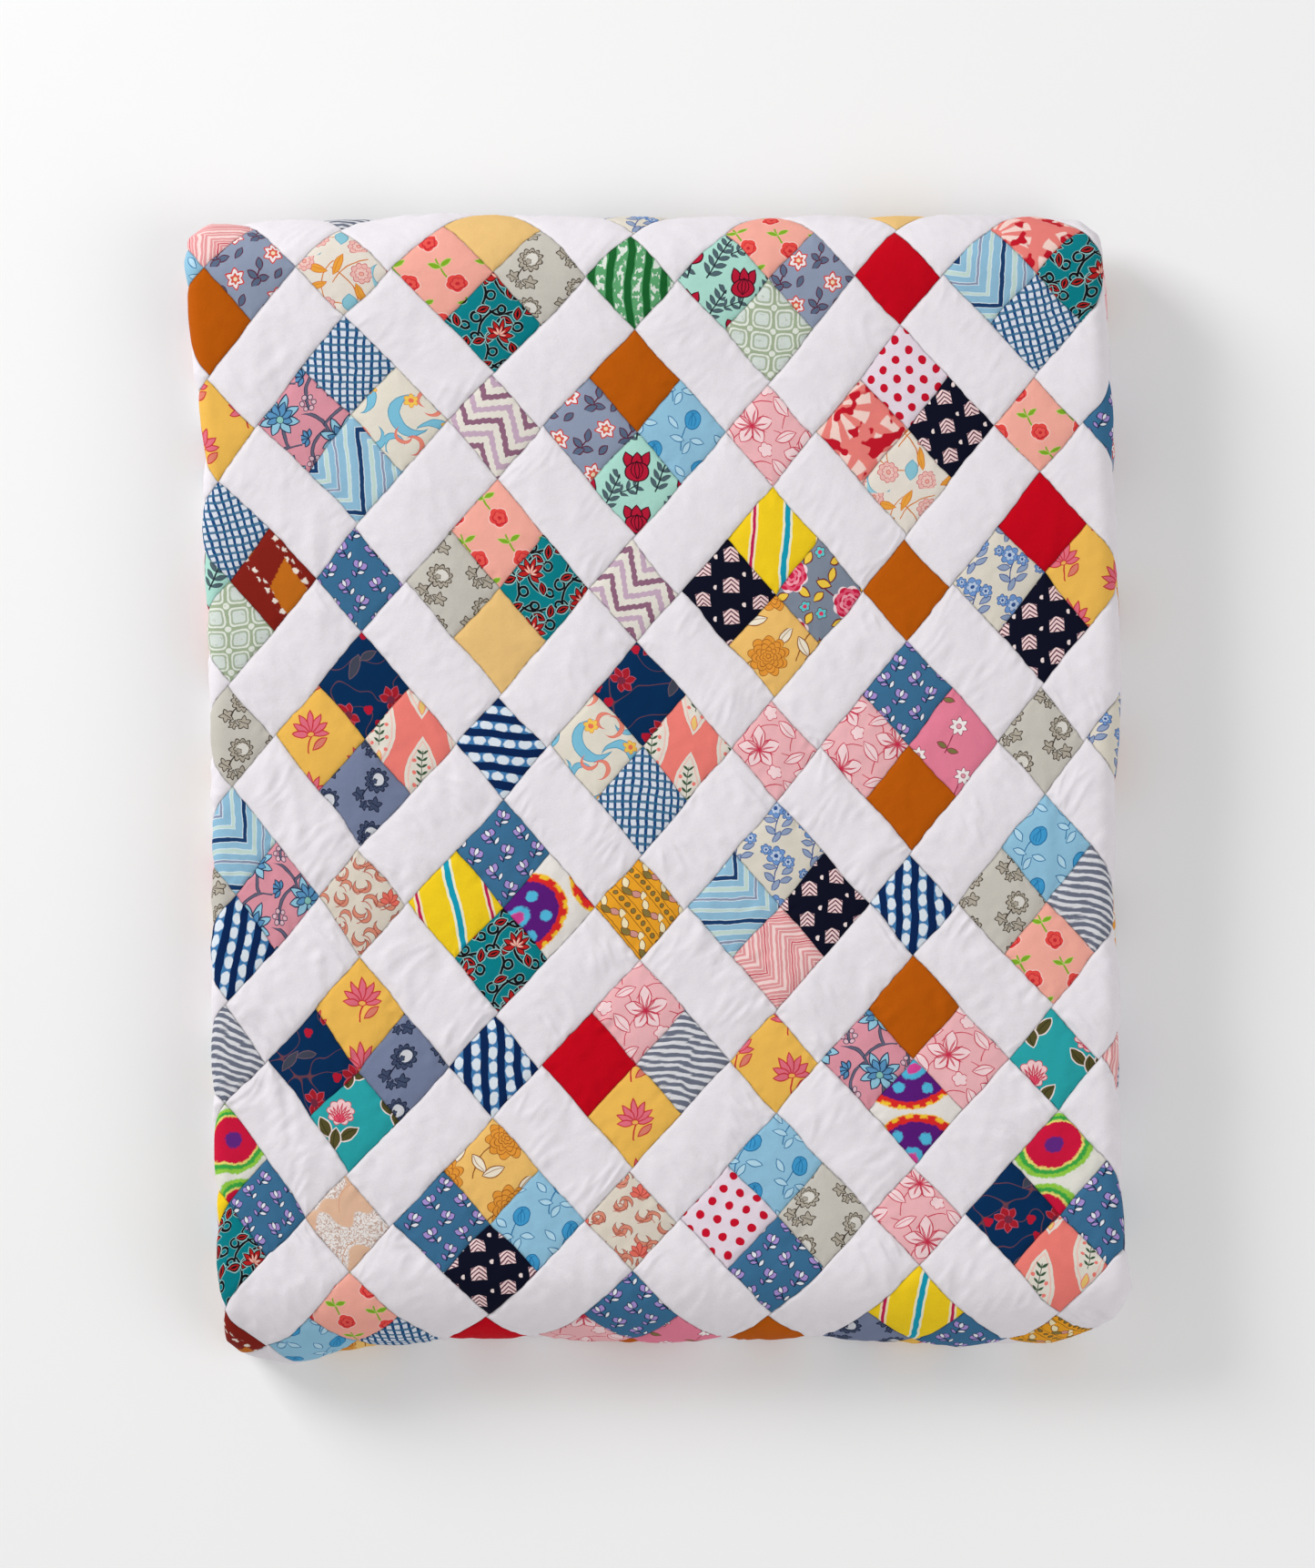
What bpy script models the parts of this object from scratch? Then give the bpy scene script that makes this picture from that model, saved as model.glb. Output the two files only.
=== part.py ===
"""A patchwork quilt, folded in three across and then in three along, lying flat.

Metres, +Z up. The quilt rests on z = 0, with its box centred on the origin. +Y points to the back
edge of the folded stack and +X to its right side, seen from above.

The quilt is one padded layer. It is made flat, as a thin slab, and every point of the slab is then
carried through the two folds:
  first fold:  both sides are turned under the middle panel, like a letter, which makes a bundle
               three layers thick;
  second fold: the bundle is turned under twice, at the back and then at the front, which makes a
               stack of three bundles, nine layers high.
"""

import math

import bmesh
import bpy
import numpy as np

# The folded stack, seen from above
STACK_WIDTH = 0.740
STACK_LENGTH = 0.925

# One padded layer, and the air between layers and between bundles
LAYER = 0.0085
LAYER_GAP = 0.0015
BUNDLE_GAP = 0.0020
LAYERS_IN_BUNDLE = 3

PITCH = LAYER + LAYER_GAP
BUNDLE = LAYERS_IN_BUNDLE * LAYER + (LAYERS_IN_BUNDLE - 1) * LAYER_GAP
STACK_HEIGHT = 3 * BUNDLE + 2 * BUNDLE_GAP

# First fold: radius of the middle of the layer in each side turn, and where the flaps stop short
LEFT_TURN = PITCH / 2
RIGHT_TURN = PITCH
LEFT_FLAP_STOP = 0.006
RIGHT_FLAP_STOP = 0.010
LEFT_TURN_X = -STACK_WIDTH / 2 + LEFT_TURN + LAYER / 2
RIGHT_TURN_X = STACK_WIDTH / 2 - RIGHT_TURN - LAYER / 2
FRONT_PANEL_H = (LAYERS_IN_BUNDLE - 1) * PITCH + LAYER / 2

# Second fold: the egg-shaped turns. shoulder and heel are how far back the curve starts above and
# below the furthest point, widest is that point's height, wall is the bundle's thickness there.
FRONT_NOSE = {"shoulder": 0.070, "heel": 0.025, "widest": 0.025, "wall": 0.034}
BACK_NOSE = {"shoulder": 0.048, "heel": 0.012, "widest": 0.040, "wall": 0.031}
FRONT_INNER_REACH = 0.012
HIDDEN_END_GAP = 0.008
UNDER_END_SETBACK = 0.030
TURN_SAMPLES = 181
FRONT_HEEL_LENGTH = 0.040
BACK_HEEL_LENGTH = 0.017

# Patchwork on point: half the diagonals of one square patch, and where one patch corner lies
HALF_PATCH_X = 0.0373
HALF_PATCH_Y = 0.0427
CORNER_AT_X = -0.0181
CORNER_AT_Y = 0.1200
STRIP_REPEAT = 3
PUFF = 0.0032

# The stack's own unevenness, from the back to the front: how far right of straight its left and
# right edges run
EDGE_LINES = (
    {"y": 0.4625, "left": -0.0115, "right": -0.0120},
    {"y": 0.4300, "left": -0.0135, "right": -0.0080},
    {"y": 0.3600, "left": -0.0080, "right": -0.0040},
    {"y": 0.2700, "left": 0.0020, "right": 0.0000},
    {"y": 0.2000, "left": 0.0025, "right": 0.0020},
    {"y": 0.0800, "left": 0.0080, "right": 0.0060},
    {"y": -0.0300, "left": 0.0095, "right": 0.0000},
    {"y": -0.1000, "left": 0.0095, "right": 0.0005},
    {"y": -0.1900, "left": 0.0080, "right": 0.0050},
    {"y": -0.2800, "left": 0.0110, "right": 0.0040},
    {"y": -0.3700, "left": 0.0120, "right": 0.0080},
    {"y": -0.4200, "left": 0.0165, "right": 0.0150},
    {"y": -0.4625, "left": 0.0210, "right": 0.0030},
)
# ... and how far its front and back edges bulge, step half-patches right of the patch corner
END_LINES = (
    {"step": -9, "front": 0.0060, "back": -0.0030},
    {"step": -8, "front": 0.0125, "back": -0.0010},
    {"step": -7, "front": 0.0035, "back": 0.0000},
    {"step": -4, "front": -0.0100, "back": 0.0050},
    {"step": 0, "front": -0.0055, "back": 0.0025},
    {"step": 4, "front": -0.0095, "back": 0.0025},
    {"step": 7, "front": -0.0030, "back": 0.0050},
    {"step": 9, "front": -0.0050, "back": 0.0040},
    {"step": 10, "front": -0.0120, "back": 0.0015},
)
END_LINES_START = 0.300
MIDDLE_BUNDLE_SHIFT = 0.004
BOTTOM_BUNDLE_SHIFT = -0.004
CORNER_DRAW = 0.005
CORNER_RUN = 0.016

# The hem all round: the layer thins towards its edge
HEM = 0.012
HEM_THINNING = 0.35

# How finely the slab is cut in the turns and in the runs that lie hidden, and the shortest cut
LEFT_TURN_PIECES = 4
RIGHT_TURN_PIECES = 6
FRONT_HEEL_PIECES = 5
BACK_HEEL_PIECES = 3
RUN_PIECES = 4
CLEAR = 0.004

COTTON_WHITE = (0.83, 0.81, 0.84, 1.0)


def smooth_step(share):
    """A soft ramp from 0 to 1."""
    share = np.clip(share, 0.0, 1.0)
    return share * share * (3 - 2 * share)


def nose(angle, shoulder, heel, widest, top, bottom):
    """A turn of the second fold: how far short of its furthest reach it is, and how high.

    angle is 0 where the turn starts on top and pi where it ends underneath."""
    above = angle < math.pi / 2
    reach = np.where(above, shoulder, heel) * (np.sin(angle) - 1)
    height = widest + np.where(above, top - widest, widest - bottom) * np.cos(angle)
    return reach, height


def angle_by_length(turn, top, bottom):
    """The length of a turn's outer curve up to each of a row of angles."""
    angles = np.linspace(0, math.pi, TURN_SAMPLES)
    reach, height = nose(
        angles, turn["shoulder"], turn["heel"], turn["widest"], top, bottom
    )
    steps = np.hypot(np.diff(reach), np.diff(height))
    return angles, np.concatenate(([0.0], np.cumsum(steps)))


# Heights of the three bundles of the stack, and lengths along the outer face
BOTTOM_TOP = BUNDLE
MIDDLE_LOW = BUNDLE + BUNDLE_GAP
MIDDLE_HIGH = 2 * BUNDLE + BUNDLE_GAP
UPPER_LOW = 2 * (BUNDLE + BUNDLE_GAP)
FRONT_ANGLES, FRONT_LENGTHS = angle_by_length(FRONT_NOSE, STACK_HEIGHT, 0.0)
BACK_ANGLES, BACK_LENGTHS = angle_by_length(BACK_NOSE, STACK_HEIGHT, MIDDLE_LOW)
FRONT_START = STACK_LENGTH / 2 - FRONT_NOSE["shoulder"]
BACK_START = STACK_LENGTH / 2 - BACK_NOSE["shoulder"]
FRONT_END = FRONT_START + FRONT_LENGTHS[-1]
BACK_END = BACK_START + BACK_LENGTHS[-1]
UNDER_START_Y = -STACK_LENGTH / 2 + FRONT_NOSE["heel"]
UNDER_END_Y = STACK_LENGTH / 2 - UNDER_END_SETBACK
HIDDEN_START_Y = STACK_LENGTH / 2 - BACK_NOSE["heel"]
INNER_FRONT_Y = -STACK_LENGTH / 2 + FRONT_NOSE["wall"] + FRONT_INNER_REACH
INNER_BACK_Y = STACK_LENGTH / 2 - BACK_NOSE["wall"] - BUNDLE_GAP / 2
HIDDEN_END_Y = INNER_FRONT_Y + HIDDEN_END_GAP
FLAT_FRONT = -(FRONT_END + UNDER_END_Y - UNDER_START_Y)
FLAT_BACK = BACK_END + HIDDEN_START_Y - HIDDEN_END_Y
LEFT_ARC = math.pi * (LEFT_TURN + LAYER / 2)
RIGHT_ARC = math.pi * (RIGHT_TURN + LAYER / 2)
FLAT_LEFT = LEFT_TURN_X - LEFT_ARC - (RIGHT_TURN_X - LEFT_FLAP_STOP - LEFT_TURN_X)
FLAT_RIGHT = RIGHT_TURN_X + RIGHT_ARC + (RIGHT_TURN_X - LEFT_TURN_X - RIGHT_FLAP_STOP)
END_STOPS = [CORNER_AT_X + row["step"] * HALF_PATCH_X for row in END_LINES]


def fold_across(across, offset):
    """First fold: (x, height in the bundle) of points of the flat quilt.

    across is measured on the outer face from the middle of the panel that stays on top, and
    offset is how far the point lies outside the middle of the layer."""
    x, height = across.copy(), FRONT_PANEL_H + offset
    for side, start, radius, arc in (
        (-1, LEFT_TURN_X, LEFT_TURN, LEFT_ARC),
        (1, RIGHT_TURN_X, RIGHT_TURN, RIGHT_ARC),
    ):
        past = side * (across - start)
        angle = np.clip(past / arc, 0, 1) * math.pi
        run = np.maximum(past - arc, 0)
        turned = past > 0
        x = np.where(
            turned, start + side * (np.sin(angle) * (radius + offset) - run), x
        )
        height = np.where(
            turned, FRONT_PANEL_H - radius + np.cos(angle) * (radius + offset), height
        )
    return x, height


def fold_along(along, share):
    """Second fold: (y, z, angle turned) of points of the bundle.

    along is measured on the outer face from the middle of the upper bundle, growing to the back,
    and share is 0 on the bundle's inner side and 1 on its outer side."""
    upper = (along + FRONT_START) / (FRONT_START + BACK_START)
    outer_y, outer_z = along, np.full_like(along, STACK_HEIGHT)
    inner_y = INNER_FRONT_Y + (INNER_BACK_Y - INNER_FRONT_Y) * upper
    inner_z = np.full_like(along, UPPER_LOW)
    turned = np.zeros_like(along)

    # The turn at the front, and the bundle that lies at the bottom
    past = -along - FRONT_START
    angle = np.interp(past, FRONT_LENGTHS, FRONT_ANGLES)
    run = past - FRONT_LENGTHS[-1]
    reach, height = nose(
        angle,
        FRONT_NOSE["shoulder"],
        FRONT_NOSE["heel"],
        FRONT_NOSE["widest"],
        STACK_HEIGHT,
        0.0,
    )
    inner_reach, inner_height = nose(
        angle,
        FRONT_INNER_REACH,
        FRONT_INNER_REACH,
        (UPPER_LOW + BOTTOM_TOP) / 2,
        UPPER_LOW,
        BOTTOM_TOP,
    )
    here, under = past > 0, run > 0
    under_share = np.maximum(run, 0) / (UNDER_END_Y - UNDER_START_Y)
    outer_y = np.where(here, -STACK_LENGTH / 2 - reach + np.maximum(run, 0), outer_y)
    outer_z = np.where(here, height, outer_z)
    inner_y = np.where(
        here, -STACK_LENGTH / 2 + FRONT_NOSE["wall"] - inner_reach, inner_y
    )
    inner_y = np.where(
        under, INNER_FRONT_Y + (UNDER_END_Y - INNER_FRONT_Y) * under_share, inner_y
    )
    inner_z = np.where(here, inner_height, inner_z)
    turned = np.where(here, -angle, turned)

    # The turn at the back, and the bundle that lies hidden in the middle
    past = along - BACK_START
    angle = np.interp(past, BACK_LENGTHS, BACK_ANGLES)
    run = past - BACK_LENGTHS[-1]
    reach, height = nose(
        angle,
        BACK_NOSE["shoulder"],
        BACK_NOSE["heel"],
        BACK_NOSE["widest"],
        STACK_HEIGHT,
        MIDDLE_LOW,
    )
    inner_reach, inner_height = nose(
        angle,
        BUNDLE_GAP / 2,
        BUNDLE_GAP / 2,
        (UPPER_LOW + MIDDLE_HIGH) / 2,
        UPPER_LOW,
        MIDDLE_HIGH,
    )
    here, under = past > 0, run > 0
    under_share = np.maximum(run, 0) / (HIDDEN_START_Y - HIDDEN_END_Y)
    outer_y = np.where(here, STACK_LENGTH / 2 + reach - np.maximum(run, 0), outer_y)
    outer_z = np.where(here, height, outer_z)
    inner_y = np.where(
        here, STACK_LENGTH / 2 - BACK_NOSE["wall"] + inner_reach, inner_y
    )
    inner_y = np.where(
        under, INNER_BACK_Y + (HIDDEN_END_Y - INNER_BACK_Y) * under_share, inner_y
    )
    inner_z = np.where(here, inner_height, inner_z)
    turned = np.where(here, angle, turned)

    y = inner_y + (outer_y - inner_y) * share
    z = inner_z + (outer_z - inner_z) * share
    return y, z, turned


def settle(x, y, turned):
    """The stack's uneven outline: leaning edges, bundles a little askew, corners drawn in."""
    rows = sorted(EDGE_LINES, key=lambda row: row["y"])
    stops = [row["y"] for row in rows]
    left = np.interp(y, stops, [row["left"] for row in rows])
    right = np.interp(y, stops, [row["right"] for row in rows])
    to_right = np.clip(x / STACK_WIDTH + 0.5, 0, 1)
    moved = x + left * (1 - to_right) + right * to_right
    moved += BOTTOM_BUNDLE_SHIFT * np.clip(-turned / math.pi, 0, 1)
    moved += MIDDLE_BUNDLE_SHIFT * np.clip(turned / math.pi, 0, 1)

    bulge = np.where(
        y < 0,
        np.interp(x, END_STOPS, [row["front"] for row in END_LINES]),
        np.interp(x, END_STOPS, [row["back"] for row in END_LINES]),
    )
    to_end = smooth_step((np.abs(y) - END_LINES_START) / (STACK_LENGTH / 2 - END_LINES_START))
    near_side = smooth_step(1 - (STACK_WIDTH / 2 - np.abs(x)) / CORNER_RUN)
    near_end = smooth_step(1 - (STACK_LENGTH / 2 - np.abs(y)) / CORNER_RUN)
    outward = bulge * to_end - CORNER_DRAW * near_side * near_end
    return moved, y + np.sign(y) * outward


def puff(across, along):
    """How far the padding stands up between the seams, from 0 at a seam to 1 in a patch's middle.

    The seams run on both diagonals. Every third row each way is a plain strip: a strip is one
    patch wide and two long, and where strips cross there is one small square."""
    sideways = (across - CORNER_AT_X) / HALF_PATCH_X
    endways = (along - CORNER_AT_Y) / HALF_PATCH_Y
    first = np.mod((endways + sideways) / 2, STRIP_REPEAT)
    second = np.mod((endways - sideways) / 2, STRIP_REPEAT)
    long_first = (first > 1) & (second < 1)
    long_second = (second > 1) & (first < 1)
    first_part = np.where(long_first, (first - 1) / 2, first)
    second_part = np.where(long_second, (second - 1) / 2, second)
    rise = np.abs(np.sin(math.pi * first_part) * np.sin(math.pi * second_part))
    return np.sqrt(rise)


def place(across, along, outside):
    """Folds points of the flat quilt. outside is True on the patchwork face, False on the back."""
    to_edge = np.minimum.reduce(
        (across - FLAT_LEFT, FLAT_RIGHT - across, along - FLAT_FRONT, FLAT_BACK - along)
    )
    thin = 1 - HEM_THINNING * np.clip(1 - to_edge / HEM, 0, 1)
    offset = np.where(outside, 1, -1) * LAYER / 2 * thin
    x, height = fold_across(across, offset)
    y, z, turned = fold_along(along, height / BUNDLE)
    # The padding shows on the top panel and over its turns, and is pressed flat underneath
    on_panel = smooth_step((across - LEFT_TURN_X) / HALF_PATCH_X)
    on_panel *= smooth_step((RIGHT_TURN_X - across) / HALF_PATCH_X)
    shown = on_panel * smooth_step((math.pi * 0.75 - np.abs(turned)) / (math.pi / 4))
    rise = np.where(outside, PUFF * puff(across, along) * shown, 0)
    lean = np.abs(turned)
    z = z + rise * np.cos(np.minimum(lean, math.pi / 2))
    y = y + np.sign(turned) * rise * np.sin(lean)
    x, y = settle(x, y, turned)
    return np.stack((x, y, z), axis=-1)


def lattice(start, end, middle, step):
    """Values a whole number of steps away from middle, inside start to end."""
    first = math.ceil((start - middle) / step)
    last = math.floor((end - middle) / step)
    return [middle + step * n for n in range(first, last + 1)]


def spaced(start, end, pieces):
    """Values that cut start to end into equal pieces, without the end."""
    return list(np.linspace(start, end, pieces, endpoint=False))


def flap_lines(turn_x, turn_end, flap_end):
    """Lines across one turned-under flap, where it lies under the stops of the end lines."""
    side = math.copysign(1, turn_end)
    lines = [turn_end + side * abs(turn_x - stop) for stop in END_STOPS]
    inside = [line for line in lines if abs(turn_end) < abs(line) < abs(flap_end) - 1.5 * HEM]
    return sorted([*inside, flap_end - side * HEM])


def lines_across():
    """Where the slab is cut from side to side: fine on the top panel, in step with the patches."""
    left_end, right_end = LEFT_TURN_X - LEFT_ARC, RIGHT_TURN_X + RIGHT_ARC
    values = [FLAT_LEFT]
    values += flap_lines(LEFT_TURN_X, left_end, FLAT_LEFT)
    values += spaced(left_end, LEFT_TURN_X, LEFT_TURN_PIECES)
    values += [LEFT_TURN_X]
    values += lattice(LEFT_TURN_X + CLEAR, RIGHT_TURN_X, CORNER_AT_X, HALF_PATCH_X / 2)
    values += spaced(RIGHT_TURN_X, right_end, RIGHT_TURN_PIECES)
    values += [right_end]
    values += flap_lines(RIGHT_TURN_X, right_end, FLAT_RIGHT)
    values += [FLAT_RIGHT]
    return values


def lines_along():
    """Where the slab is cut from end to end: in step with the patches, and finer in the heels."""
    front_heel, back_heel = FRONT_HEEL_LENGTH - FRONT_END, BACK_END - BACK_HEEL_LENGTH
    values = [FLAT_FRONT]
    values += spaced(FLAT_FRONT + HEM, -FRONT_END, RUN_PIECES)
    values += spaced(-FRONT_END, front_heel, FRONT_HEEL_PIECES)
    values += lattice(front_heel + CLEAR, back_heel - CLEAR, CORNER_AT_Y, HALF_PATCH_Y / 2)
    values += spaced(back_heel, BACK_END, BACK_HEEL_PIECES)
    values += spaced(BACK_END, FLAT_BACK - HEM, RUN_PIECES)
    values += [FLAT_BACK - HEM, FLAT_BACK]
    return values


def split_on_seams(bm, across, along):
    """Cuts each face of the top panel that a seam crosses along that seam's diagonal."""
    step_x, step_y = HALF_PATCH_X / 2, HALF_PATCH_Y / 2
    for face in list(bm.faces):
        columns = sorted({round(v.co.x) for v in face.verts})
        rows = sorted({round(v.co.y) for v in face.verts})
        if len(face.verts) != 4 or len(columns) != 2 or len(rows) != 2:
            continue
        p = [(across[i] - CORNER_AT_X) / step_x for i in columns]
        q = [(along[j] - CORNER_AT_Y) / step_y for j in rows]
        if abs(p[1] - p[0] - 1) > 0.01 or abs(q[1] - q[0] - 1) > 0.01:
            continue
        rising = round(q[0] - p[0]) % 4 == 0
        falling = round(q[1] + p[0]) % 4 == 0
        if not (rising or falling):
            continue
        ends = [(columns[0], rows[0]), (columns[1], rows[1])]
        if falling:
            ends = [(columns[0], rows[1]), (columns[1], rows[0])]
        picked = [v for v in face.verts if (round(v.co.x), round(v.co.y)) in ends]
        bmesh.utils.face_split(face, picked[0], picked[1])


def folded_quilt():
    """The whole quilt as one solid: a flat slab, cut on the lines above, then folded."""
    across, along = lines_across(), lines_along()
    columns, rows = len(across) - 1, len(along) - 1
    bm = bmesh.new()
    bmesh.ops.create_grid(bm, x_segments=columns, y_segments=rows, size=0.5)
    for vert in bm.verts:
        vert.co.x = round((vert.co.x + 0.5) * columns)
        vert.co.y = round((vert.co.y + 0.5) * rows)
    bmesh.ops.solidify(bm, geom=bm.faces[:], thickness=1.0)
    middle_z = sum(v.co.z for v in bm.verts) / len(bm.verts)
    split_on_seams(bm, across, along)

    index = np.array([[round(v.co.x), round(v.co.y)] for v in bm.verts])
    outside = np.array([v.co.z > middle_z for v in bm.verts])
    places = place(np.array(across)[index[:, 0]], np.array(along)[index[:, 1]], outside)
    low, high = places.min(axis=0), places.max(axis=0)
    places -= ((low[0] + high[0]) / 2, (low[1] + high[1]) / 2, low[2])
    for vert, co in zip(bm.verts, places, strict=True):
        vert.co = co
    bmesh.ops.recalc_face_normals(bm, faces=bm.faces[:])
    mesh = bpy.data.meshes.new("quilt")
    bm.to_mesh(mesh)
    bm.free()
    mesh.shade_smooth()
    mesh.set_sharp_from_angle(angle=math.radians(35))
    return bpy.data.objects.new("quilt", mesh)


def cotton():
    """Washed white cotton, the colour of most of the quilt."""
    material = bpy.data.materials.new("quilted_cotton")
    material.use_nodes = True
    shader = material.node_tree.nodes["Principled BSDF"]
    shader.inputs["Base Color"].default_value = COTTON_WHITE
    shader.inputs["Roughness"].default_value = 0.9
    shader.inputs["Metallic"].default_value = 0.0
    return material


def main():
    for old in list(bpy.data.objects):
        bpy.data.objects.remove(old)
    collection = bpy.data.collections.new("folded_patchwork_quilt")
    bpy.context.scene.collection.children.link(collection)
    quilt = folded_quilt()
    quilt.data.materials.append(cotton())
    collection.objects.link(quilt)
    print("flat quilt, metres:", round(FLAT_RIGHT - FLAT_LEFT, 3), round(FLAT_BACK - FLAT_FRONT, 3))


main()
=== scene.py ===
# %% [markdown]
# # A folded patchwork quilt
#
# The real thing is a bed cover of about 2.2 by 2.8 metres: a face of small printed cotton squares,
# four to a block, with plain white strips between the blocks, sewn through a thin filling to a
# plain back. It lies folded in three across and then in three along.
#
# We start from the measured solid of that stack. It already has every layer in its place, so we
# keep its box, and centre our work on it.

import math

import bmesh
import bpy
import numpy as np
from mathutils import Matrix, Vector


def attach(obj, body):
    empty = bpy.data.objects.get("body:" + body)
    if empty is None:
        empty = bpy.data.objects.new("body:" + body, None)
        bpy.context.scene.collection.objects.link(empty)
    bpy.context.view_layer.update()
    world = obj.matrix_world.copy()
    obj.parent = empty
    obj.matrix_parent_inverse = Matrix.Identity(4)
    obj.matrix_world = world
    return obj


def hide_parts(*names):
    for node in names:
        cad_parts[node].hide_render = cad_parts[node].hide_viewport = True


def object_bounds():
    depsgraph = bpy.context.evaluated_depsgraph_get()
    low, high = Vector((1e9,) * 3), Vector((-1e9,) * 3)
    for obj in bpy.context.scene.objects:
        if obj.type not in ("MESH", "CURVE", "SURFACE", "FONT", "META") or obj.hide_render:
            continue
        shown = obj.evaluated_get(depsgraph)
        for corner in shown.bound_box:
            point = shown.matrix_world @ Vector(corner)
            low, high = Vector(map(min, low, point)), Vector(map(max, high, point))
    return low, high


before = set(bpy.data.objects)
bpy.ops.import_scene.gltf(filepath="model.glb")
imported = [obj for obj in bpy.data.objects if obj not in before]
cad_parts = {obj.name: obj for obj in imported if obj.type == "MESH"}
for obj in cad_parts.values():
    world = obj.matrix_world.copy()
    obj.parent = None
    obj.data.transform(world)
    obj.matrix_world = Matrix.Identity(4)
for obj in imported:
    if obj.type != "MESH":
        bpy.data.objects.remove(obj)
solid_low, solid_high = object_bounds()
print("pieces of the solid:", list(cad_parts))
print("solid, metres:", [round(b - a, 3) for a, b in zip(solid_low, solid_high, strict=True)])

# %% [markdown]
# ## How the quilt is folded
#
# A quilt is sewn flat, so it is easiest to make it flat and then fold it. Every point of the flat
# quilt has three numbers: how far across it lies, how far along, and how far above the middle of
# the padded layer. The first fold turns both sides under the middle panel, like a letter, and the
# second turns both ends of that bundle under. Two functions carry a point through the two folds.
# A wide turn of cloth isn't round: it slopes down from a long shoulder to a tight heel.

# %% Sizes of the stack
STACK_WIDTH, STACK_LENGTH = 0.740, 0.925
LAYER, LAYER_GAP, BUNDLE_GAP = 0.0085, 0.0015, 0.0020
PITCH = LAYER + LAYER_GAP
BUNDLE = 3 * LAYER + 2 * LAYER_GAP
TOP = 3 * BUNDLE + 2 * BUNDLE_GAP
PANEL_H = 2 * PITCH + LAYER / 2
HALF_LENGTH = STACK_LENGTH / 2

SIDE_TURNS = {
    "left": {"side": -1, "radius": PITCH / 2, "flap_stop": 0.006},
    "right": {"side": 1, "radius": PITCH, "flap_stop": 0.010},
}
for turn in SIDE_TURNS.values():
    turn["start"] = STACK_WIDTH / 2 - turn["radius"] - LAYER / 2
    turn["arc"] = math.pi * (turn["radius"] + LAYER / 2)
panel = SIDE_TURNS["left"]["start"] + SIDE_TURNS["right"]["start"]
for turn in SIDE_TURNS.values():
    turn["flap"] = panel - turn["flap_stop"]
    turn["edge"] = turn["side"] * (turn["start"] + turn["arc"] + turn["flap"])

END_TURNS = {
    "front": {"side": -1, "shoulder": 0.070, "heel": 0.025, "widest": 0.025, "wall": 0.034},
    "back": {"side": 1, "shoulder": 0.048, "heel": 0.012, "widest": 0.040, "wall": 0.031},
}
END_TURNS["front"].update(inner=0.012, low=0.0, end=HALF_LENGTH - 0.030)
END_TURNS["back"].update(inner=BUNDLE_GAP / 2, low=BUNDLE + BUNDLE_GAP, end=0.054 - HALF_LENGTH)


def nose(angle, shoulder, heel, widest, top, bottom):
    """How far short of its furthest reach a wide turn is at each angle, and how high."""
    above = angle < math.pi / 2
    reach = np.where(above, shoulder, heel) * (np.sin(angle) - 1)
    height = widest + np.where(above, top - widest, widest - bottom) * np.cos(angle)
    return reach, height


for turn in END_TURNS.values():
    turn["angles"] = np.linspace(0, math.pi, 181)
    profile = nose(turn["angles"], turn["shoulder"], turn["heel"], turn["widest"], TOP, turn["low"])
    steps = np.hypot(*np.diff(profile))
    turn["lengths"] = np.concatenate(([0.0], np.cumsum(steps)))
    turn["start"] = HALF_LENGTH - turn["shoulder"]
    turn["arc"] = turn["lengths"][-1]
    turn["run"] = abs(turn["end"] - turn["side"] * (HALF_LENGTH - turn["heel"]))
    turn["edge"] = turn["side"] * (turn["start"] + turn["arc"] + turn["run"])


# %% The two folds
def fold_across(across, offset):
    """First fold: (x, height in the bundle)."""
    x, height = across.copy(), PANEL_H + offset
    for turn in SIDE_TURNS.values():
        side, radius = turn["side"], turn["radius"]
        past = side * across - turn["start"]
        angle = np.clip(past / turn["arc"], 0, 1) * math.pi
        run = np.maximum(past - turn["arc"], 0)
        out = np.sin(angle) * (radius + offset) - run
        x = np.where(past > 0, side * (turn["start"] + out), x)
        low = PANEL_H - radius + np.cos(angle) * (radius + offset)
        height = np.where(past > 0, low, height)
    return x, height


def fold_along(along, share):
    """Second fold: (y, z, angle turned). share is 0 inside the bundle and 1 on its outside."""
    starts = [turn["start"] for turn in END_TURNS.values()]
    inner_ends = [HALF_LENGTH - turn["wall"] - turn["inner"] for turn in END_TURNS.values()]
    upper = (along + starts[0]) / sum(starts)
    outer_y, outer_z = along, np.full_like(along, TOP)
    inner_y = -inner_ends[0] + sum(inner_ends) * upper
    inner_z = np.full_like(along, TOP - BUNDLE)
    turned = np.zeros_like(along)
    for turn in END_TURNS.values():
        side, low = turn["side"], turn["low"]
        past = side * along - turn["start"]
        angle = np.interp(past, turn["lengths"], turn["angles"])
        run = np.maximum(past - turn["arc"], 0)
        reach, height = nose(angle, turn["shoulder"], turn["heel"], turn["widest"], TOP, low)
        ceiling, floor = TOP - BUNDLE, low + BUNDLE
        inner = turn["inner"]
        inner_reach, inner_height = nose(angle, inner, inner, (ceiling + floor) / 2, ceiling, floor)
        inner_start = HALF_LENGTH - turn["wall"] - inner
        done = run / turn["run"]
        here = past > 0
        inner_out = side * (HALF_LENGTH - turn["wall"] + inner_reach)
        inner_run = side * inner_start + (turn["end"] - side * inner_start) * done
        outer_y = np.where(here, side * (HALF_LENGTH + reach - run), outer_y)
        outer_z = np.where(here, height, outer_z)
        inner_y = np.where(here, np.where(run > 0, inner_run, inner_out), inner_y)
        inner_z = np.where(here, inner_height, inner_z)
        turned = np.where(here, side * angle, turned)
    y = inner_y + (outer_y - inner_y) * share
    z = inner_z + (outer_z - inner_z) * share
    return y, z, turned


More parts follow.
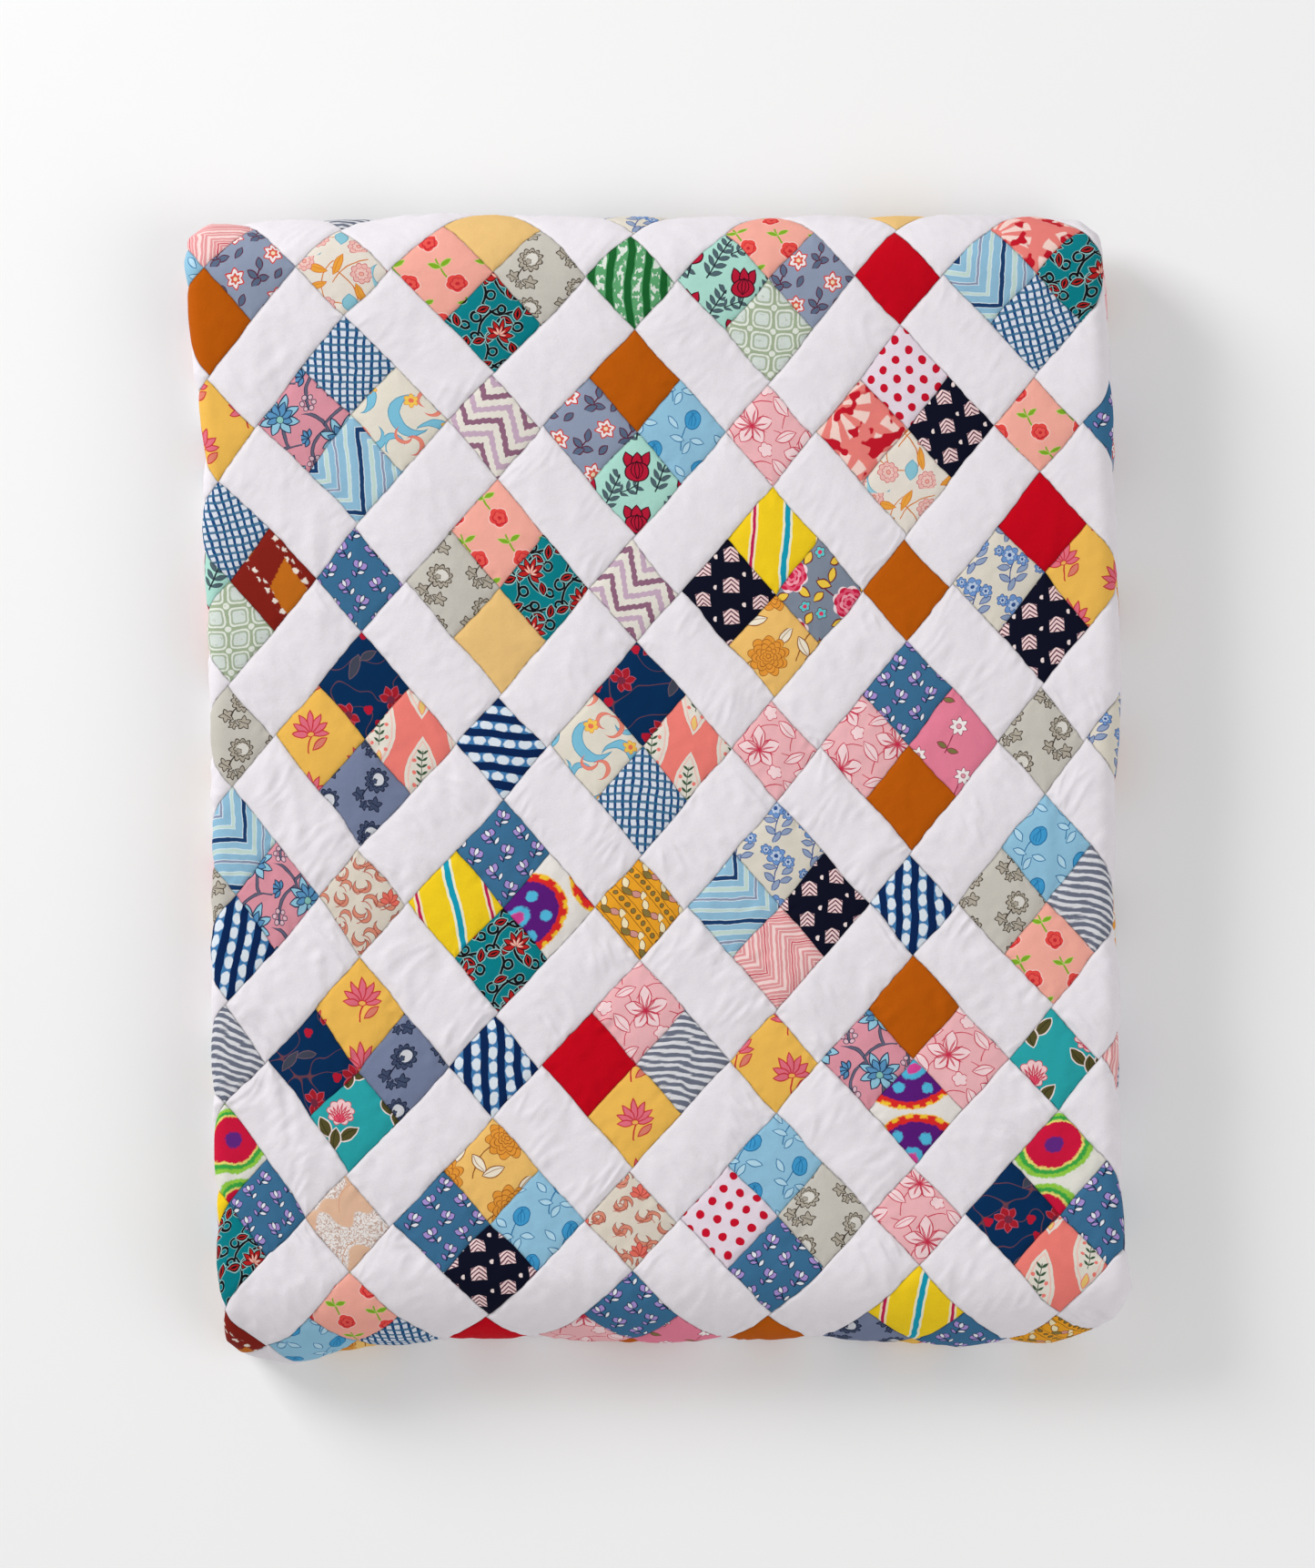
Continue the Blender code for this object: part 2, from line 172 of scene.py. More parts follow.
# %% [markdown]
# ## A stack that nobody ruled
#
# A real stack leans. Its edges wander by a centimetre or two, and its corners are drawn in. Two
# short tables say how, in millimetres: the first from the back to the front, the second from the
# left to the right.

# %% The stack's own unevenness
HALF_X, HALF_Y = 0.0373, 0.0427
CORNER_X, CORNER_Y = -0.0181, 0.1200
# y, and how far right of its straight place the left and the right edge lies there
EDGE_LINES = (
    (462.5, -11.5, -12.0), (430.0, -13.5, -8.0), (360.0, -8.0, -4.0), (270.0, 2.0, 0.0),
    (200.0, 2.5, 2.0), (80.0, 8.0, 6.0), (-30.0, 9.5, 0.0), (-100.0, 9.5, 0.5), (-190.0, 8.0, 5.0),
    (-280.0, 11.0, 4.0), (-370.0, 12.0, 8.0), (-420.0, 16.5, 15.0), (-462.5, 21.0, 3.0),
)
# Half squares right of the plan's corner, and how far out the front and the back edge lies there
END_LINES = (
    (-9, 6.0, -3.0), (-8, 12.5, -1.0), (-7, 3.5, 0.0), (-4, -10.0, 5.0), (0, -5.5, 2.5),
    (4, -9.5, 2.5), (7, -3.0, 5.0), (9, -5.0, 4.0), (10, -12.0, 1.5),
)
BULGE_FROM = 0.300
BUNDLE_SHIFT = 0.004
CORNER_DRAW, CORNER_RUN = 0.005, 0.016


def smooth_step(share):
    """A soft ramp from 0 to 1."""
    share = np.clip(share, 0.0, 1.0)
    return share * share * (3 - 2 * share)


def settle(x, y, turned):
    """Moves straight-sided cloth to where the uneven stack has it."""
    marks, left, right = np.array(EDGE_LINES[::-1]).T / 1000
    to_right = np.clip(x / STACK_WIDTH + 0.5, 0, 1)
    moved = x + np.interp(y, marks, left) * (1 - to_right) + np.interp(y, marks, right) * to_right
    moved += BUNDLE_SHIFT * np.clip(turned / math.pi, -1, 1)
    halves, front, back = np.array(END_LINES).T
    marks = CORNER_X + halves * HALF_X
    out = np.where(y < 0, np.interp(x, marks, front), np.interp(x, marks, back)) / 1000
    to_end = smooth_step((np.abs(y) - BULGE_FROM) / (HALF_LENGTH - BULGE_FROM))
    near_side = smooth_step(1 - (STACK_WIDTH / 2 - np.abs(x)) / CORNER_RUN)
    near_end = smooth_step(1 - (HALF_LENGTH - np.abs(y)) / CORNER_RUN)
    outward = out * to_end - CORNER_DRAW * near_side * near_end
    return moved, y + np.sign(y) * outward


def fold(across, along, offset):
    """Folds points of the flat quilt into the stack. Returns their places and how far they turned."""
    x, height = fold_across(across, offset)
    y, z, turned = fold_along(along, height / BUNDLE)
    x, y = settle(x, y, turned)
    return np.stack((x, y, z), axis=-1), turned


def rippled(x, y, length, seed, waves=9):
    """Soft unevenness between about -1 and 1, whose humps are about length apart."""
    dice = np.random.default_rng(seed)
    total = np.zeros_like(x)
    for _ in range(waves):
        heading, phase = dice.uniform(0, 2 * math.pi, 2)
        step = 2 * math.pi / (length * dice.uniform(0.75, 1.5))
        total += np.sin((x * math.cos(heading) + y * math.sin(heading)) * step + phase)
    return total / math.sqrt(waves * 2)


# The solid was centred after folding, so the same folding has to be centred the same way.
edge_across = np.linspace(SIDE_TURNS["left"]["edge"], SIDE_TURNS["right"]["edge"], 400)
edge_along = np.linspace(END_TURNS["front"]["edge"], END_TURNS["back"]["edge"], 900)
grid = np.meshgrid(edge_across, edge_along)
probe, _ = fold(grid[0].ravel(), grid[1].ravel(), np.full(grid[0].size, LAYER / 2))
solid_middle = (np.array(solid_low) + np.array(solid_high)) / 2
CENTRE = (probe.min(axis=0) + probe.max(axis=0)) / 2 - solid_middle
CENTRE[2] = 0.0
print("moved to the middle by, millimetres:", np.round(CENTRE * 1000, 1))

# %% [markdown]
# ## The patchwork plan
#
# The squares stand on their corners. Every third row each way is a plain strip, and where strips
# cross there is one printed square. The blocks between them hold four squares each. The plan names
# the print of every square that shows on top, by the block's column and row. The rest are dealt
# out at random, as a maker does from a pile of scraps.

# %% Which print goes where
PATCH_SIDE = math.hypot(HALF_X, HALF_Y)
# column and row of a block: its top, left, right and bottom squares
BLOCKS = {
    (-2, -1): "blue_sprig coral_ogee sage_trellis grey_bark",
    (0, -1): "red mint_tulip rust blue_sprig",
    (2, -1): "pink_star navy_floral blue_check apricot",
    (-3, 0): "pink_chevron sky_bud grey_flower rust",
    (-1, 0): "apricot poppy beige_buti teal_floral",
    (1, 0): "poppy mint_tulip grey_flower sage_trellis",
    (3, 0): "coral_batik blue_chevron teal_floral blue_check",
    (-2, 1): "blue_check pink_lotus cream_scroll blue_chevron",
    (0, 1): "rust grey_flower sky_bud mint_tulip",
    (2, 1): "red_dot coral_batik navy_block cream_floral",
    (4, 1): "blue_sprig slate_tulip rust poppy",
    (-3, 2): "blue_check mint_tulip maroon_ikat sage_trellis",
    (-1, 2): "poppy beige_buti teal_floral apricot",
    (1, 2): "yellow_stripe navy_block grey_rose ochre_floral",
    (3, 2): "red blue_sprig yellow_lotus navy_block",
    (-2, 3): "navy_floral yellow_lotus coral_ogee slate_buti",
    (0, 3): "navy_floral cream_scroll coral_ogee blue_check",
    (2, 3): "slate_tulip pink_line pink_star rust",
    (4, 3): "red_dot blue_sprig poppy teal_floral",
    (-3, 4): "blue_chevron beige_buti pink_lotus indigo_dash",
    (-1, 4): "slate_tulip yellow_stripe bright_ikat teal_floral",
    (1, 4): "blue_sprig blue_chevron navy_block pink_chevron",
    (3, 4): "sky_bud beige_buti grey_bark poppy",
    (-2, 5): "yellow_lotus navy_floral slate_buti teal_carnation",
    (0, 5): "pink_line red grey_bark yellow_lotus",
    (2, 5): "rust pink_lotus pink_line bright_ikat",
    (4, 5): "sky_bud pink_chevron rust mint_tulip",
    (-3, 6): "lime_ikat yellow_stripe slate_tulip teal_floral",
    (-1, 6): "ochre_floral slate_tulip sky_bud navy_block",
    (1, 6): "sky_bud red_dot beige_buti slate_tulip",
    (3, 6): "lime_ikat navy_floral slate_tulip coral_ogee",
    (-2, 7): "poppy sky_bud blue_check ochre_floral",
    (0, 7): "slate_tulip pink_line pink_star rust",
    (2, 7): "yellow_stripe slate_buti slate_tulip yellow_lotus",
}
CORNERSTONES = {
    (-2, 0): "cream_floral",
    (0, 0): "green_stripe",
    (2, 0): "red",
    (-3, 1): "yellow_lotus",
    (-1, 1): "lilac_zigzag",
    (1, 1): "pink_line",
    (3, 1): "poppy",
    (-2, 2): "slate_tulip",
    (0, 2): "lilac_zigzag",
    (2, 2): "rust",
    (-3, 3): "beige_buti",
    (-1, 3): "indigo_dash",
    (1, 3): "pink_line",
    (3, 3): "beige_buti",
    (-2, 4): "rust_vine",
    (0, 4): "mustard_leaf",
    (2, 4): "indigo_dash",
    (-3, 5): "grey_bark",
    (-1, 5): "indigo_dash",
    (1, 5): "yellow_lotus",
    (3, 5): "teal_carnation",
    (-2, 6): "lace",
    (0, 6): "rust_vine",
    (2, 6): "pink_line",
    (-3, 7): "maroon_ikat",
    (-1, 7): "red",
    (1, 7): "rust",
    (3, 7): "mustard_leaf",
}
LAID_ACROSS = {(-1, 3)}  # cornerstones whose stripes lie across
CORNERSTONE = 0.93  # its side, in squares
NAMES = sorted({name for plan in (BLOCKS, CORNERSTONES) for row in plan.values() for name in row.split()})
print("prints:", len(NAMES))

# How far right and up of its place each column and row of the plan has drifted, in millimetres
DRIFT_COLUMNS = tuple(range(-4, 5))
DRIFT_RIGHT = {
    0: (-13.5, -14.5, -15.5, -4, -2.5, -3, -11.5, -10, -12),
    1: (-9, -8, -6.5, -0.5, 2, -2, -2, -8, -10),
    2: (7.5, 7, 0.5, 2, -1, 2.5, -3, -2, -6.5),
    3: (7.5, 7, 4.5, 4.5, 7, 2.5, -1.5, -3.5, -10),
    4: (12.5, 12, 0.5, 6, 6, 7, 3.5, -0.5, -2),
    5: (1.5, 1.5, -1.5, -1.5, 1, 2.5, 2.5, 8, 3),
    6: (4, 5, -12, -6, -3, 4.5, 7.5, 10.5, 15.5),
    7: (1.5, 2, -2, -7.5, -1.5, 0, 6, 11.5, 8.5),
}
DRIFT_UP = {
    0: (3, 3, 3.5, -1.5, -6.5, -7.5, -2.5, -2.5, 0),
    1: (-0.5, -1.5, 10.5, 4, -2.5, -4, -0.5, 3.5, 5.5),
    2: (5, 3, 6, -2.5, -3.5, -7, -3, 11, 8),
    3: (8, 8, 3.5, -2, -2.5, -4.5, -1.5, 4, 6),
    4: (6.5, 5.5, 1.5, -6, -5, -4.5, -2, -0.5, 1.5),
    5: (5, 3.5, -11, -5, -4.5, -1.5, -0.5, 0.5, 3.5),
    6: (11.5, 11, -5.5, -7, -3.5, 0, 2, 1, 4.5),
    7: (7.5, 7.5, 7, 0, 0, 0, 1.5, 3.5, 7.5),
}


def drifted(across, along, table):
    """One drift table, read between its columns and rows."""
    row = np.clip(2 - (along - CORNER_Y - HALF_Y) / (3 * HALF_Y), 0, 6.999)
    place = (across - CORNER_X) / (3 * HALF_X)
    lines = np.array([np.interp(place, DRIFT_COLUMNS, table[n]) for n in sorted(table)])
    at, lower = np.arange(len(row)), row.astype(int)
    share = row - lower
    return (lines[lower, at] * (1 - share) + lines[lower + 1, at] * share) / 1000


SHOWN_FROM = 0.34  # share of the front half that shows or turns under near the edge
DRIFT_ENDS, DRIFT_FADE = -0.62, 0.12
SEAM_WAVES = ((0.0009, 0.05, 3), (0.0003, 0.013, 5))  # height, length and seed of a seam's waver


def on_the_quilt(across, along):
    """Where a point of the plan lies on the flat quilt, so that it shows at its drifted place."""
    shown = np.clip(along, END_TURNS["front"]["edge"] * SHOWN_FROM, HALF_LENGTH)
    moved_x, moved_y = settle(across, shown, np.zeros_like(across))
    fade = smooth_step((along - DRIFT_ENDS) / DRIFT_FADE)
    right = drifted(across, along, DRIFT_RIGHT) - (moved_x - across)
    up = drifted(across, along, DRIFT_UP) - (moved_y - shown)
    waver = [sum(height * rippled(across, along, length, seed + way) for height, length, seed in SEAM_WAVES)
             for way in (0, 1)]
    return across + right * fade + waver[0], along + up * fade + waver[1]


# %% [markdown]
# ## Padding, puckers and creases
#
# The seams are sewn through the filling, so each square stands up between them like a small
# pillow. The thread draws the cloth together, which leaves tiny puckers across each seam and a
# dimple where four seams meet. Long soft creases come from washing and folding. The ones that
# show most are listed one by one, in millimetres from the middle of the top.

# %% The relief of the sewn face
# x, y, turn in degrees, length, width and height of each crease, in millimetres
CREASES = (
    (-315, 350, 82, 50, 6, 0.9), (-300, 338, 96, 60, 5, -0.8), (-302, 335, 38, 38, 5, 1.2),
    (-174, 220, -52, 30, 4, -1.2), (-168, 226, -58, 34, 6, 1.0), (-156, 318, -20, 34, 4, 1.0),
    (-280, 200, 84, 60, 6, 0.9), (-268, 186, 80, 46, 5, -0.8), (-306, 214, 92, 52, 6, 0.7),
    (-300, -26, 100, 76, 6, 1.1), (-312, -14, 98, 60, 5, -0.9), (-288, -48, 101, 56, 5, -0.8),
    (-324, -20, 94, 50, 6, 0.8), (-236, -72, 70, 30, 5, 0.8), (-308, -268, 101, 100, 6, 1.3),
    (-299, -272, 102, 92, 5, -1.1), (-320, -250, 98, 74, 6, -0.9), (-288, -292, 104, 64, 6, 0.9),
    (-332, -236, 80, 60, 7, 0.8), (-275, -382, 112, 36, 5, 1.1), (-300, -388, 78, 44, 6, 0.8),
    (-184, 42, 120, 34, 5, 0.9), (-60, 66, 60, 50, 6, 0.7), (30, -110, 74, 52, 6, 0.8),
    (44, 176, 118, 60, 7, 0.7), (178, -36, 58, 60, 7, 0.8), (150, 320, 60, 56, 7, 0.7),
    (232, 46, 40, 60, 6, 1.0), (246, -64, 62, 60, 6, 0.8), (318, -30, 96, 76, 6, 1.0),
    (330, -44, 92, 60, 6, -0.8), (326, 190, 86, 60, 6, 0.8), (322, -236, 80, 80, 7, 1.0),
    (336, -330, 72, 70, 7, 1.2), (300, -384, -22, 50, 6, 1.2), (196, -404, -30, 70, 7, 1.0),
    (60, -386, 34, 60, 7, 0.8), (-96, -392, -28, 60, 7, 0.8), (190, -186, 44, 70, 6, 0.8),
    (88, -168, 40, 60, 6, 0.7),
)


def seam_distances(across, along):
    """Distance to the nearest seam one way and the other, in metres, and the plan's own numbers."""
    sideways, endways = (across - CORNER_X) / HALF_X, (along - CORNER_Y) / HALF_Y
    first, second = (endways + sideways) / 2, (endways - sideways) / 2
    in_first, in_second = np.mod(first, 3), np.mod(second, 3)
    corner_row = in_second < 1
    falling = (in_first < 1) & ~corner_row
    to_corner = np.minimum(in_first, np.abs(in_first - CORNERSTONE))
    even_first, even_second = np.abs(first - np.round(first)), np.abs(second - np.round(second))
    near_first = np.where(corner_row, np.minimum(to_corner, 3 - in_first), even_first)
    near_second = np.where(falling, np.minimum(in_second - 1, 3 - in_second), even_second)
    return near_first * PATCH_SIDE, near_second * PATCH_SIDE, first, second


# Heights in metres, each with the distance from the seam, or the length of cloth, that it takes
LIP, LIP_RUN = 0.0017, 0.0028
PILLOW, PILLOW_RUN = 0.0011, 0.024
DIMPLE, DIMPLE_RUN = 0.0010, 0.011
PUCKER, PUCKER_STEP, PUCKER_FROM, PUCKER_TO = 0.0013, 0.0100, 0.002, 0.008
DRAG_LINE, DRAG_LINE_PLAIN, DRAG_LINE_STEP, DRAG_LINE_SHARP = 0.0005, 0.0010, 0.015, 0.42
DRAG, DRAG_PLAIN, DRAG_STEP = 0.0006, 0.0005, 0.018
CRUMPLE, CRUMPLE_STEP = 0.0005, 0.010
SWELL, SWELL_STEP = 0.0012, 0.11
SMOOTH_END = 0.45


def relief(across, along, plain):
    """How far the face stands above the middle of its seams, in metres."""
    near_first, near_second, first, second = seam_distances(across, along)
    near = np.minimum(near_first, near_second)
    rise = LIP * (1 - np.exp(-near / LIP_RUN)) + PILLOW * smooth_step(near / PILLOW_RUN)
    rise -= DIMPLE * np.exp(-((np.hypot(near_first, near_second) / DIMPLE_RUN) ** 2))

    # The front half of the real quilt is more creased than the back half.
    worn = SMOOTH_END + (1 - SMOOTH_END) * smooth_step((0.25 - along) / 0.35)
    a, b = first * PATCH_SIDE, second * PATCH_SIDE
    across_first, across_second = rippled(a / 4, b, PUCKER_STEP, 11), rippled(a, b / 4, PUCKER_STEP, 12)
    pucker = np.where(near_first < near_second, across_first, across_second)
    gathered = smooth_step(0.4 + rippled(across, along, 0.05, 16))
    rise += PUCKER * worn * pucker * gathered * np.exp(-near / PUCKER_TO) * smooth_step(near / PUCKER_FROM)

    # Drag lines run across a strip, so they turn with it.
    falling = (np.mod(first, 3) < 1) & (np.mod(second, 3) >= 1)
    lengthwise, sideways = np.where(falling, b, a), np.where(falling, a, b)
    bowed = lengthwise + 0.005 * rippled(a, b, 0.07, 19)
    lines = rippled(bowed, sideways / 5, DRAG_LINE_STEP, 20)
    tight = smooth_step(0.4 + rippled(a, b, 0.045, 21))
    drawn = worn * (DRAG_LINE + DRAG_LINE_PLAIN * plain) * tight
    rise += drawn * np.exp(-((lines / DRAG_LINE_SHARP) ** 2)) * smooth_step(near / 0.003)
    drag = rippled(across, along / 4, DRAG_STEP, 13) * rippled(across, along, 0.09, 14)
    rise += worn * (DRAG + DRAG_PLAIN * plain) * drag * smooth_step(near / 0.008)
    fine = rippled(across / 1.6, along, CRUMPLE_STEP, 17) * rippled(across, along, 0.05, 18)
    rise += CRUMPLE * worn * fine * smooth_step(near / 0.004)
    rise += SWELL * rippled(across, along, SWELL_STEP, 15)

    for x, y, turn, length, width, height in CREASES:
        right, up, heading = across * 1000 - x, along * 1000 - y, math.radians(turn)
        lengthwise = right * math.cos(heading) + up * math.sin(heading)
        sideways = up * math.cos(heading) - right * math.sin(heading)
        fold_line = np.exp(-((lengthwise / (length / 2)) ** 2) - (sideways / width) ** 2)
        rise += height / 1000 * fold_line * smooth_step(near / 0.005)
    return rise


# %% [markdown]
# ## Ink on cotton
#
# The prints are block prints: flat shapes, stamped one colour after another, with edges that
# wobble a little where the block slipped. So each print here is a small program that stamps shapes
# in order. It works in millimetres on the cloth, and a repeat sets the stamp out in rows, each
# column half a step lower than the last, as printed dress cottons have it.

# %% A number that varies over the cloth
class Field:
    """A shader value. Arithmetic on it adds shader nodes."""

    def __init__(self, ink, socket):
        self.ink, self.socket = ink, socket

    def __add__(self, other):
        return self.ink.calc("ADD", self, other)

    def __sub__(self, other):
        return self.ink.calc("SUBTRACT", self, other)

    def __mul__(self, other):
        return self.ink.calc("MULTIPLY", self, other)

    def __truediv__(self, other):
        return self.ink.calc("DIVIDE", self, other)

    def __rsub__(self, other):
        return self.ink.calc("SUBTRACT", other, self)

    def __abs__(self):
        return self.ink.calc("ABSOLUTE", self)

    __radd__, __rmul__ = __add__, __mul__

    def cap(self, other):
        """The smaller of the two, which cuts one shape with another."""
        return self.ink.calc("MINIMUM", self, other)

    def fraction(self):
        """What is left past the whole number."""
        return self.ink.calc("FRACT", self)


def dye(red, green, blue):
    """A colour from 0 to 255, as a picture has it, in the units that a shader takes."""
    parts = np.array([red, green, blue]) / 255
    linear = np.where(parts <= 0.04045, parts / 12.92, ((parts + 0.055) / 1.055) ** 2.4)
    return (*linear, 1.0)


# %% The stamps
UV_MM = 100.0


class Ink:
    """One cotton and what is stamped on it. Sizes are in millimetres and turns in degrees."""

    def __init__(self, name, ground, size=1.0, wobble=0.5):
        self.material = bpy.data.materials.new(name)
        self.material.use_nodes = True
        self.tree = self.material.node_tree
        self.shader = self.tree.nodes["Principled BSDF"]
        uv = self.tree.nodes.new("ShaderNodeUVMap")
        uv.uv_map = "print"
        self.flat = self.vector("SCALE", uv.outputs[0], scale=UV_MM)
        scaled = self.vector("SCALE", self.flat, scale=1 / size)
        self.cloth = self.shaken(scaled, wobble, 5.0) if wobble else scaled
        self.here = self.cloth
        start = self.tree.nodes.new("ShaderNodeRGB")
        start.outputs[0].default_value = dye(*ground)
        self.colour = start.outputs[0]

    def plug(self, socket, value):
        """Links a socket or sets its constant."""
        if isinstance(value, Field):
            value = value.socket
        if isinstance(value, bpy.types.NodeSocket):
            self.tree.links.new(value, socket)
        else:
            socket.default_value = value

    def calc(self, kind, *values, clamp=False):
        """One step of arithmetic."""
        node = self.tree.nodes.new("ShaderNodeMath")
        node.operation, node.use_clamp = kind, clamp
        for socket, value in zip(node.inputs, values, strict=False):
            self.plug(socket, value)
        return Field(self, node.outputs[0])

    def vector(self, kind, *values, scale=None):
        """One step on coordinates or on a colour."""
        node = self.tree.nodes.new("ShaderNodeVectorMath")
        node.operation = kind
        for socket, value in zip(node.inputs, values, strict=False):
            self.plug(socket, value)
        if scale is not None:
            self.plug(node.inputs["Scale"], scale)
        return node.outputs["Value"] if kind == "LENGTH" else node.outputs[0]

    def split(self, vector):
        """A vector's x and y."""
        node = self.tree.nodes.new("ShaderNodeSeparateXYZ")
        self.plug(node.inputs[0], vector)
        return Field(self, node.outputs[0]), Field(self, node.outputs[1])

    def join(self, x, y):
        """Coordinates on the cloth from x and y."""
        node = self.tree.nodes.new("ShaderNodeCombineXYZ")
        self.plug(node.inputs[0], x)
        self.plug(node.inputs[1], y)
        return node.outputs[0]

    def noise(self, size, on=None, detail=1.0, colour=False, stretch=None):
        """Cloudy noise whose humps are about size apart, from 0 to 1."""
        node = self.tree.nodes.new("ShaderNodeTexNoise")
        on = self.flat if on is None else on
        if stretch is not None:
            on = self.vector("MULTIPLY", on, (*stretch, 1.0))
        self.plug(node.inputs["Vector"], on)
        node.inputs["Scale"].default_value = 1 / size
        node.inputs["Detail"].default_value = detail
        return node.outputs["Color"] if colour else Field(self, node.outputs["Fac"])

    def shaken(self, vector, amount, size):
        """The same coordinates, wobbling by about amount over humps of that size."""
        cloud = self.noise(size, on=vector, colour=True)
        centred = self.vector("SUBTRACT", cloud, (0.5, 0.5, 0.5))
        return self.vector("ADD", vector, self.vector("SCALE", centred, scale=amount * 2))

    def view(self, x=0.0, y=0.0, turn=0.0, wide=1.0, high=1.0, on=None):
        """Coordinates seen from a place on the cloth, in units of wide and high."""
        node = self.tree.nodes.new("ShaderNodeMapping")
        node.vector_type = "TEXTURE"
        self.plug(node.inputs["Vector"], self.here if on is None else on)
        node.inputs["Location"].default_value = (x, y, 0.0)
        node.inputs["Rotation"].default_value = (0.0, 0.0, math.radians(turn))
        node.inputs["Scale"].default_value = (wide, high, 1.0)
        return node.outputs[0]

    def repeat(self, wide, high, drop=0.5, x=0.0, y=0.0, turn=0.0, brick=0.0):
        """From here on, stamps repeat. Each column drops by a share of high, or each row of wide."""
        across, up = self.split(self.view(x, y, turn, wide, high, on=self.cloth))
        if brick:
            across = across + self.calc("FLOOR", up) * brick
        else:
            up = up + self.calc("FLOOR", across) * drop
        local_x, local_y = across.fraction() - 0.5, up.fraction() - 0.5
        self.here = self.join(local_x * wide, local_y * high)
        return self

    def once(self):
        """From here on, stamps don't repeat."""
        self.here = self.cloth
        return self

    def paint(self, inside, colour, soft=0.35, cover=1.0):
        """Colours the cloth where inside, a distance in millimetres, is above zero."""
        mask = self.calc("MULTIPLY_ADD", inside, 1 / soft, 0.5, clamp=True)
        if cover != 1.0:
            mask = mask * cover
        node = self.tree.nodes.new("ShaderNodeMix")
        node.data_type = "RGBA"
        self.plug(node.inputs[0], mask)
        self.plug(node.inputs[6], self.colour)
        self.plug(node.inputs[7], dye(*colour) if isinstance(colour, tuple) else colour)
        self.colour = node.outputs[2]
        return self

    def from_middle(self, *where):
        """Distance from the middle of a view."""
        return Field(self, self.vector("LENGTH", self.view(*where)))

    def stamp(self, inside, fill=None, line=None, wide=0.55):
        """Stamps a shape: its outline in line's colour, and then its inside in fill's."""
        if line is not None:
            self.paint(inside if fill is not None else wide / 2 - abs(inside), line)
        if fill is not None:
            self.paint(inside - wide if line is not None else inside, fill)
        return self

    def disc(self, x, y, a, b=None, turn=0.0):
        b = a if b is None else b
        return (1 - self.from_middle(x, y, turn, a, b)) * min(a, b)

    def leaf(self, x, y, a, b, turn=0.0):
        """A leaf with two points, a long from its middle and b wide."""
        along, across = self.split(self.view(x, y, turn, a, b))
        return (1 - along * along - abs(across)) * (b * 0.8)

    def petals(self, x, y, a, count, depth=0.25, turn=0.0, sharp=False):
        """A flower's outline of round lobes, or of points if it is sharp."""
        view = self.view(x, y, turn)
        across, up = self.split(view)
        angle = self.calc("ARCTAN2", up, across)
        wave = abs(self.calc("SINE", angle * (count / 2)))
        wave = wave if not sharp else self.calc("PINGPONG", angle * (count / math.pi), 1.0)
        return (1 - depth + wave * depth) * a - Field(self, self.vector("LENGTH", view))

    def hook(self, x, y, radius, turn, thick):
        """A crescent like a comma's tail, open towards turn. thick is its share of the radius."""
        heading = math.radians(turn)
        off_x, off_y = radius * thick * math.cos(heading), radius * thick * math.sin(heading)
        return self.disc(x, y, radius).cap(0 - self.disc(x + off_x, y + off_y, radius * 0.86))

    def stroke(self, x, y, a, wide, turn=0.0, bend=0.0):
        """A line of half-length a, bowed by bend at its middle."""
        along, across = self.split(self.view(x, y, turn))
        bow = (1 - (along * along) / (a * a)) * bend
        return (wide / 2 - abs(across - bow)).cap(a - abs(along))

    def stripes(self, step, wide, turn=0.0, at=0.0, wave=0.0, length=30.0):
        """Lines step apart, along the y axis when turn is 0."""
        across, along = self.split(self.view(at, 0.0, turn))
        if wave:
            across = across + self.calc("SINE", along * (2 * math.pi / length)) * wave
        return wide / 2 - abs((across / step).fraction() - 0.5) * step

    def leaves(self, places, a, b, fill, line=None, wide=0.55):
        """Leaves of one size, each at its x, y and turn."""
        for x, y, turn in places:
            self.stamp(self.leaf(x, y, a, b, turn), fill, line, wide)
        return self

    def veined(self, places, a, b, fill, line, wide, vein):
        """Leaves, each with a vein of its own length, width and bend."""
        length, thick, bend = vein
        for x, y, turn in places:
            self.stamp(self.leaf(x, y, a, b, turn), fill, line, wide)
            self.paint(self.stroke(x, y, length, thick, turn, bend), line)
        return self

    def stems(self, places, wide, colour):
        """Bowed stems, each with its x, y, half-length, turn and bend."""
        for x, y, a, turn, bend in places:
            self.paint(self.stroke(x, y, a, wide, turn, bend), colour)
        return self

    def fan(self, x, y, a, b, count, spread, turn=90.0, fill=None, line=None, wide=0.5):
        """Leaves spread out from one point like fingers."""
        for n in range(count):
            share = n / (count - 1) - 0.5 if count > 1 else 0.0
            heading = turn + spread * share
            size = a * (1 - 0.25 * abs(share) * 2)
            middle = math.radians(heading)
            at_x, at_y = x + math.cos(middle) * size, y + math.sin(middle) * size
            self.stamp(self.leaf(at_x, at_y, size, b, heading), fill, line, wide)
        return self

    def sprig(self, x, y, a, turn, pairs, fill, line=None, leaf=(3.0, 1.2), stem=0.6):
        """A stem with pairs of leaves."""
        self.paint(self.stroke(x, y, a, stem, turn), line or fill)
        heading = math.radians(turn)
        for n in range(pairs):
            along = a * (2 * (n + 0.5) / pairs - 1)
            for side in (-1, 1):
                tilt = math.radians(turn + side * 50)
                at_x = x + along * math.cos(heading) + leaf[0] * math.cos(tilt)
                at_y = y + along * math.sin(heading) + leaf[0] * math.sin(tilt)
                shape = self.leaf(at_x, at_y, *leaf, turn + side * 50)
                self.stamp(shape, fill, line, 0.35)
        return self

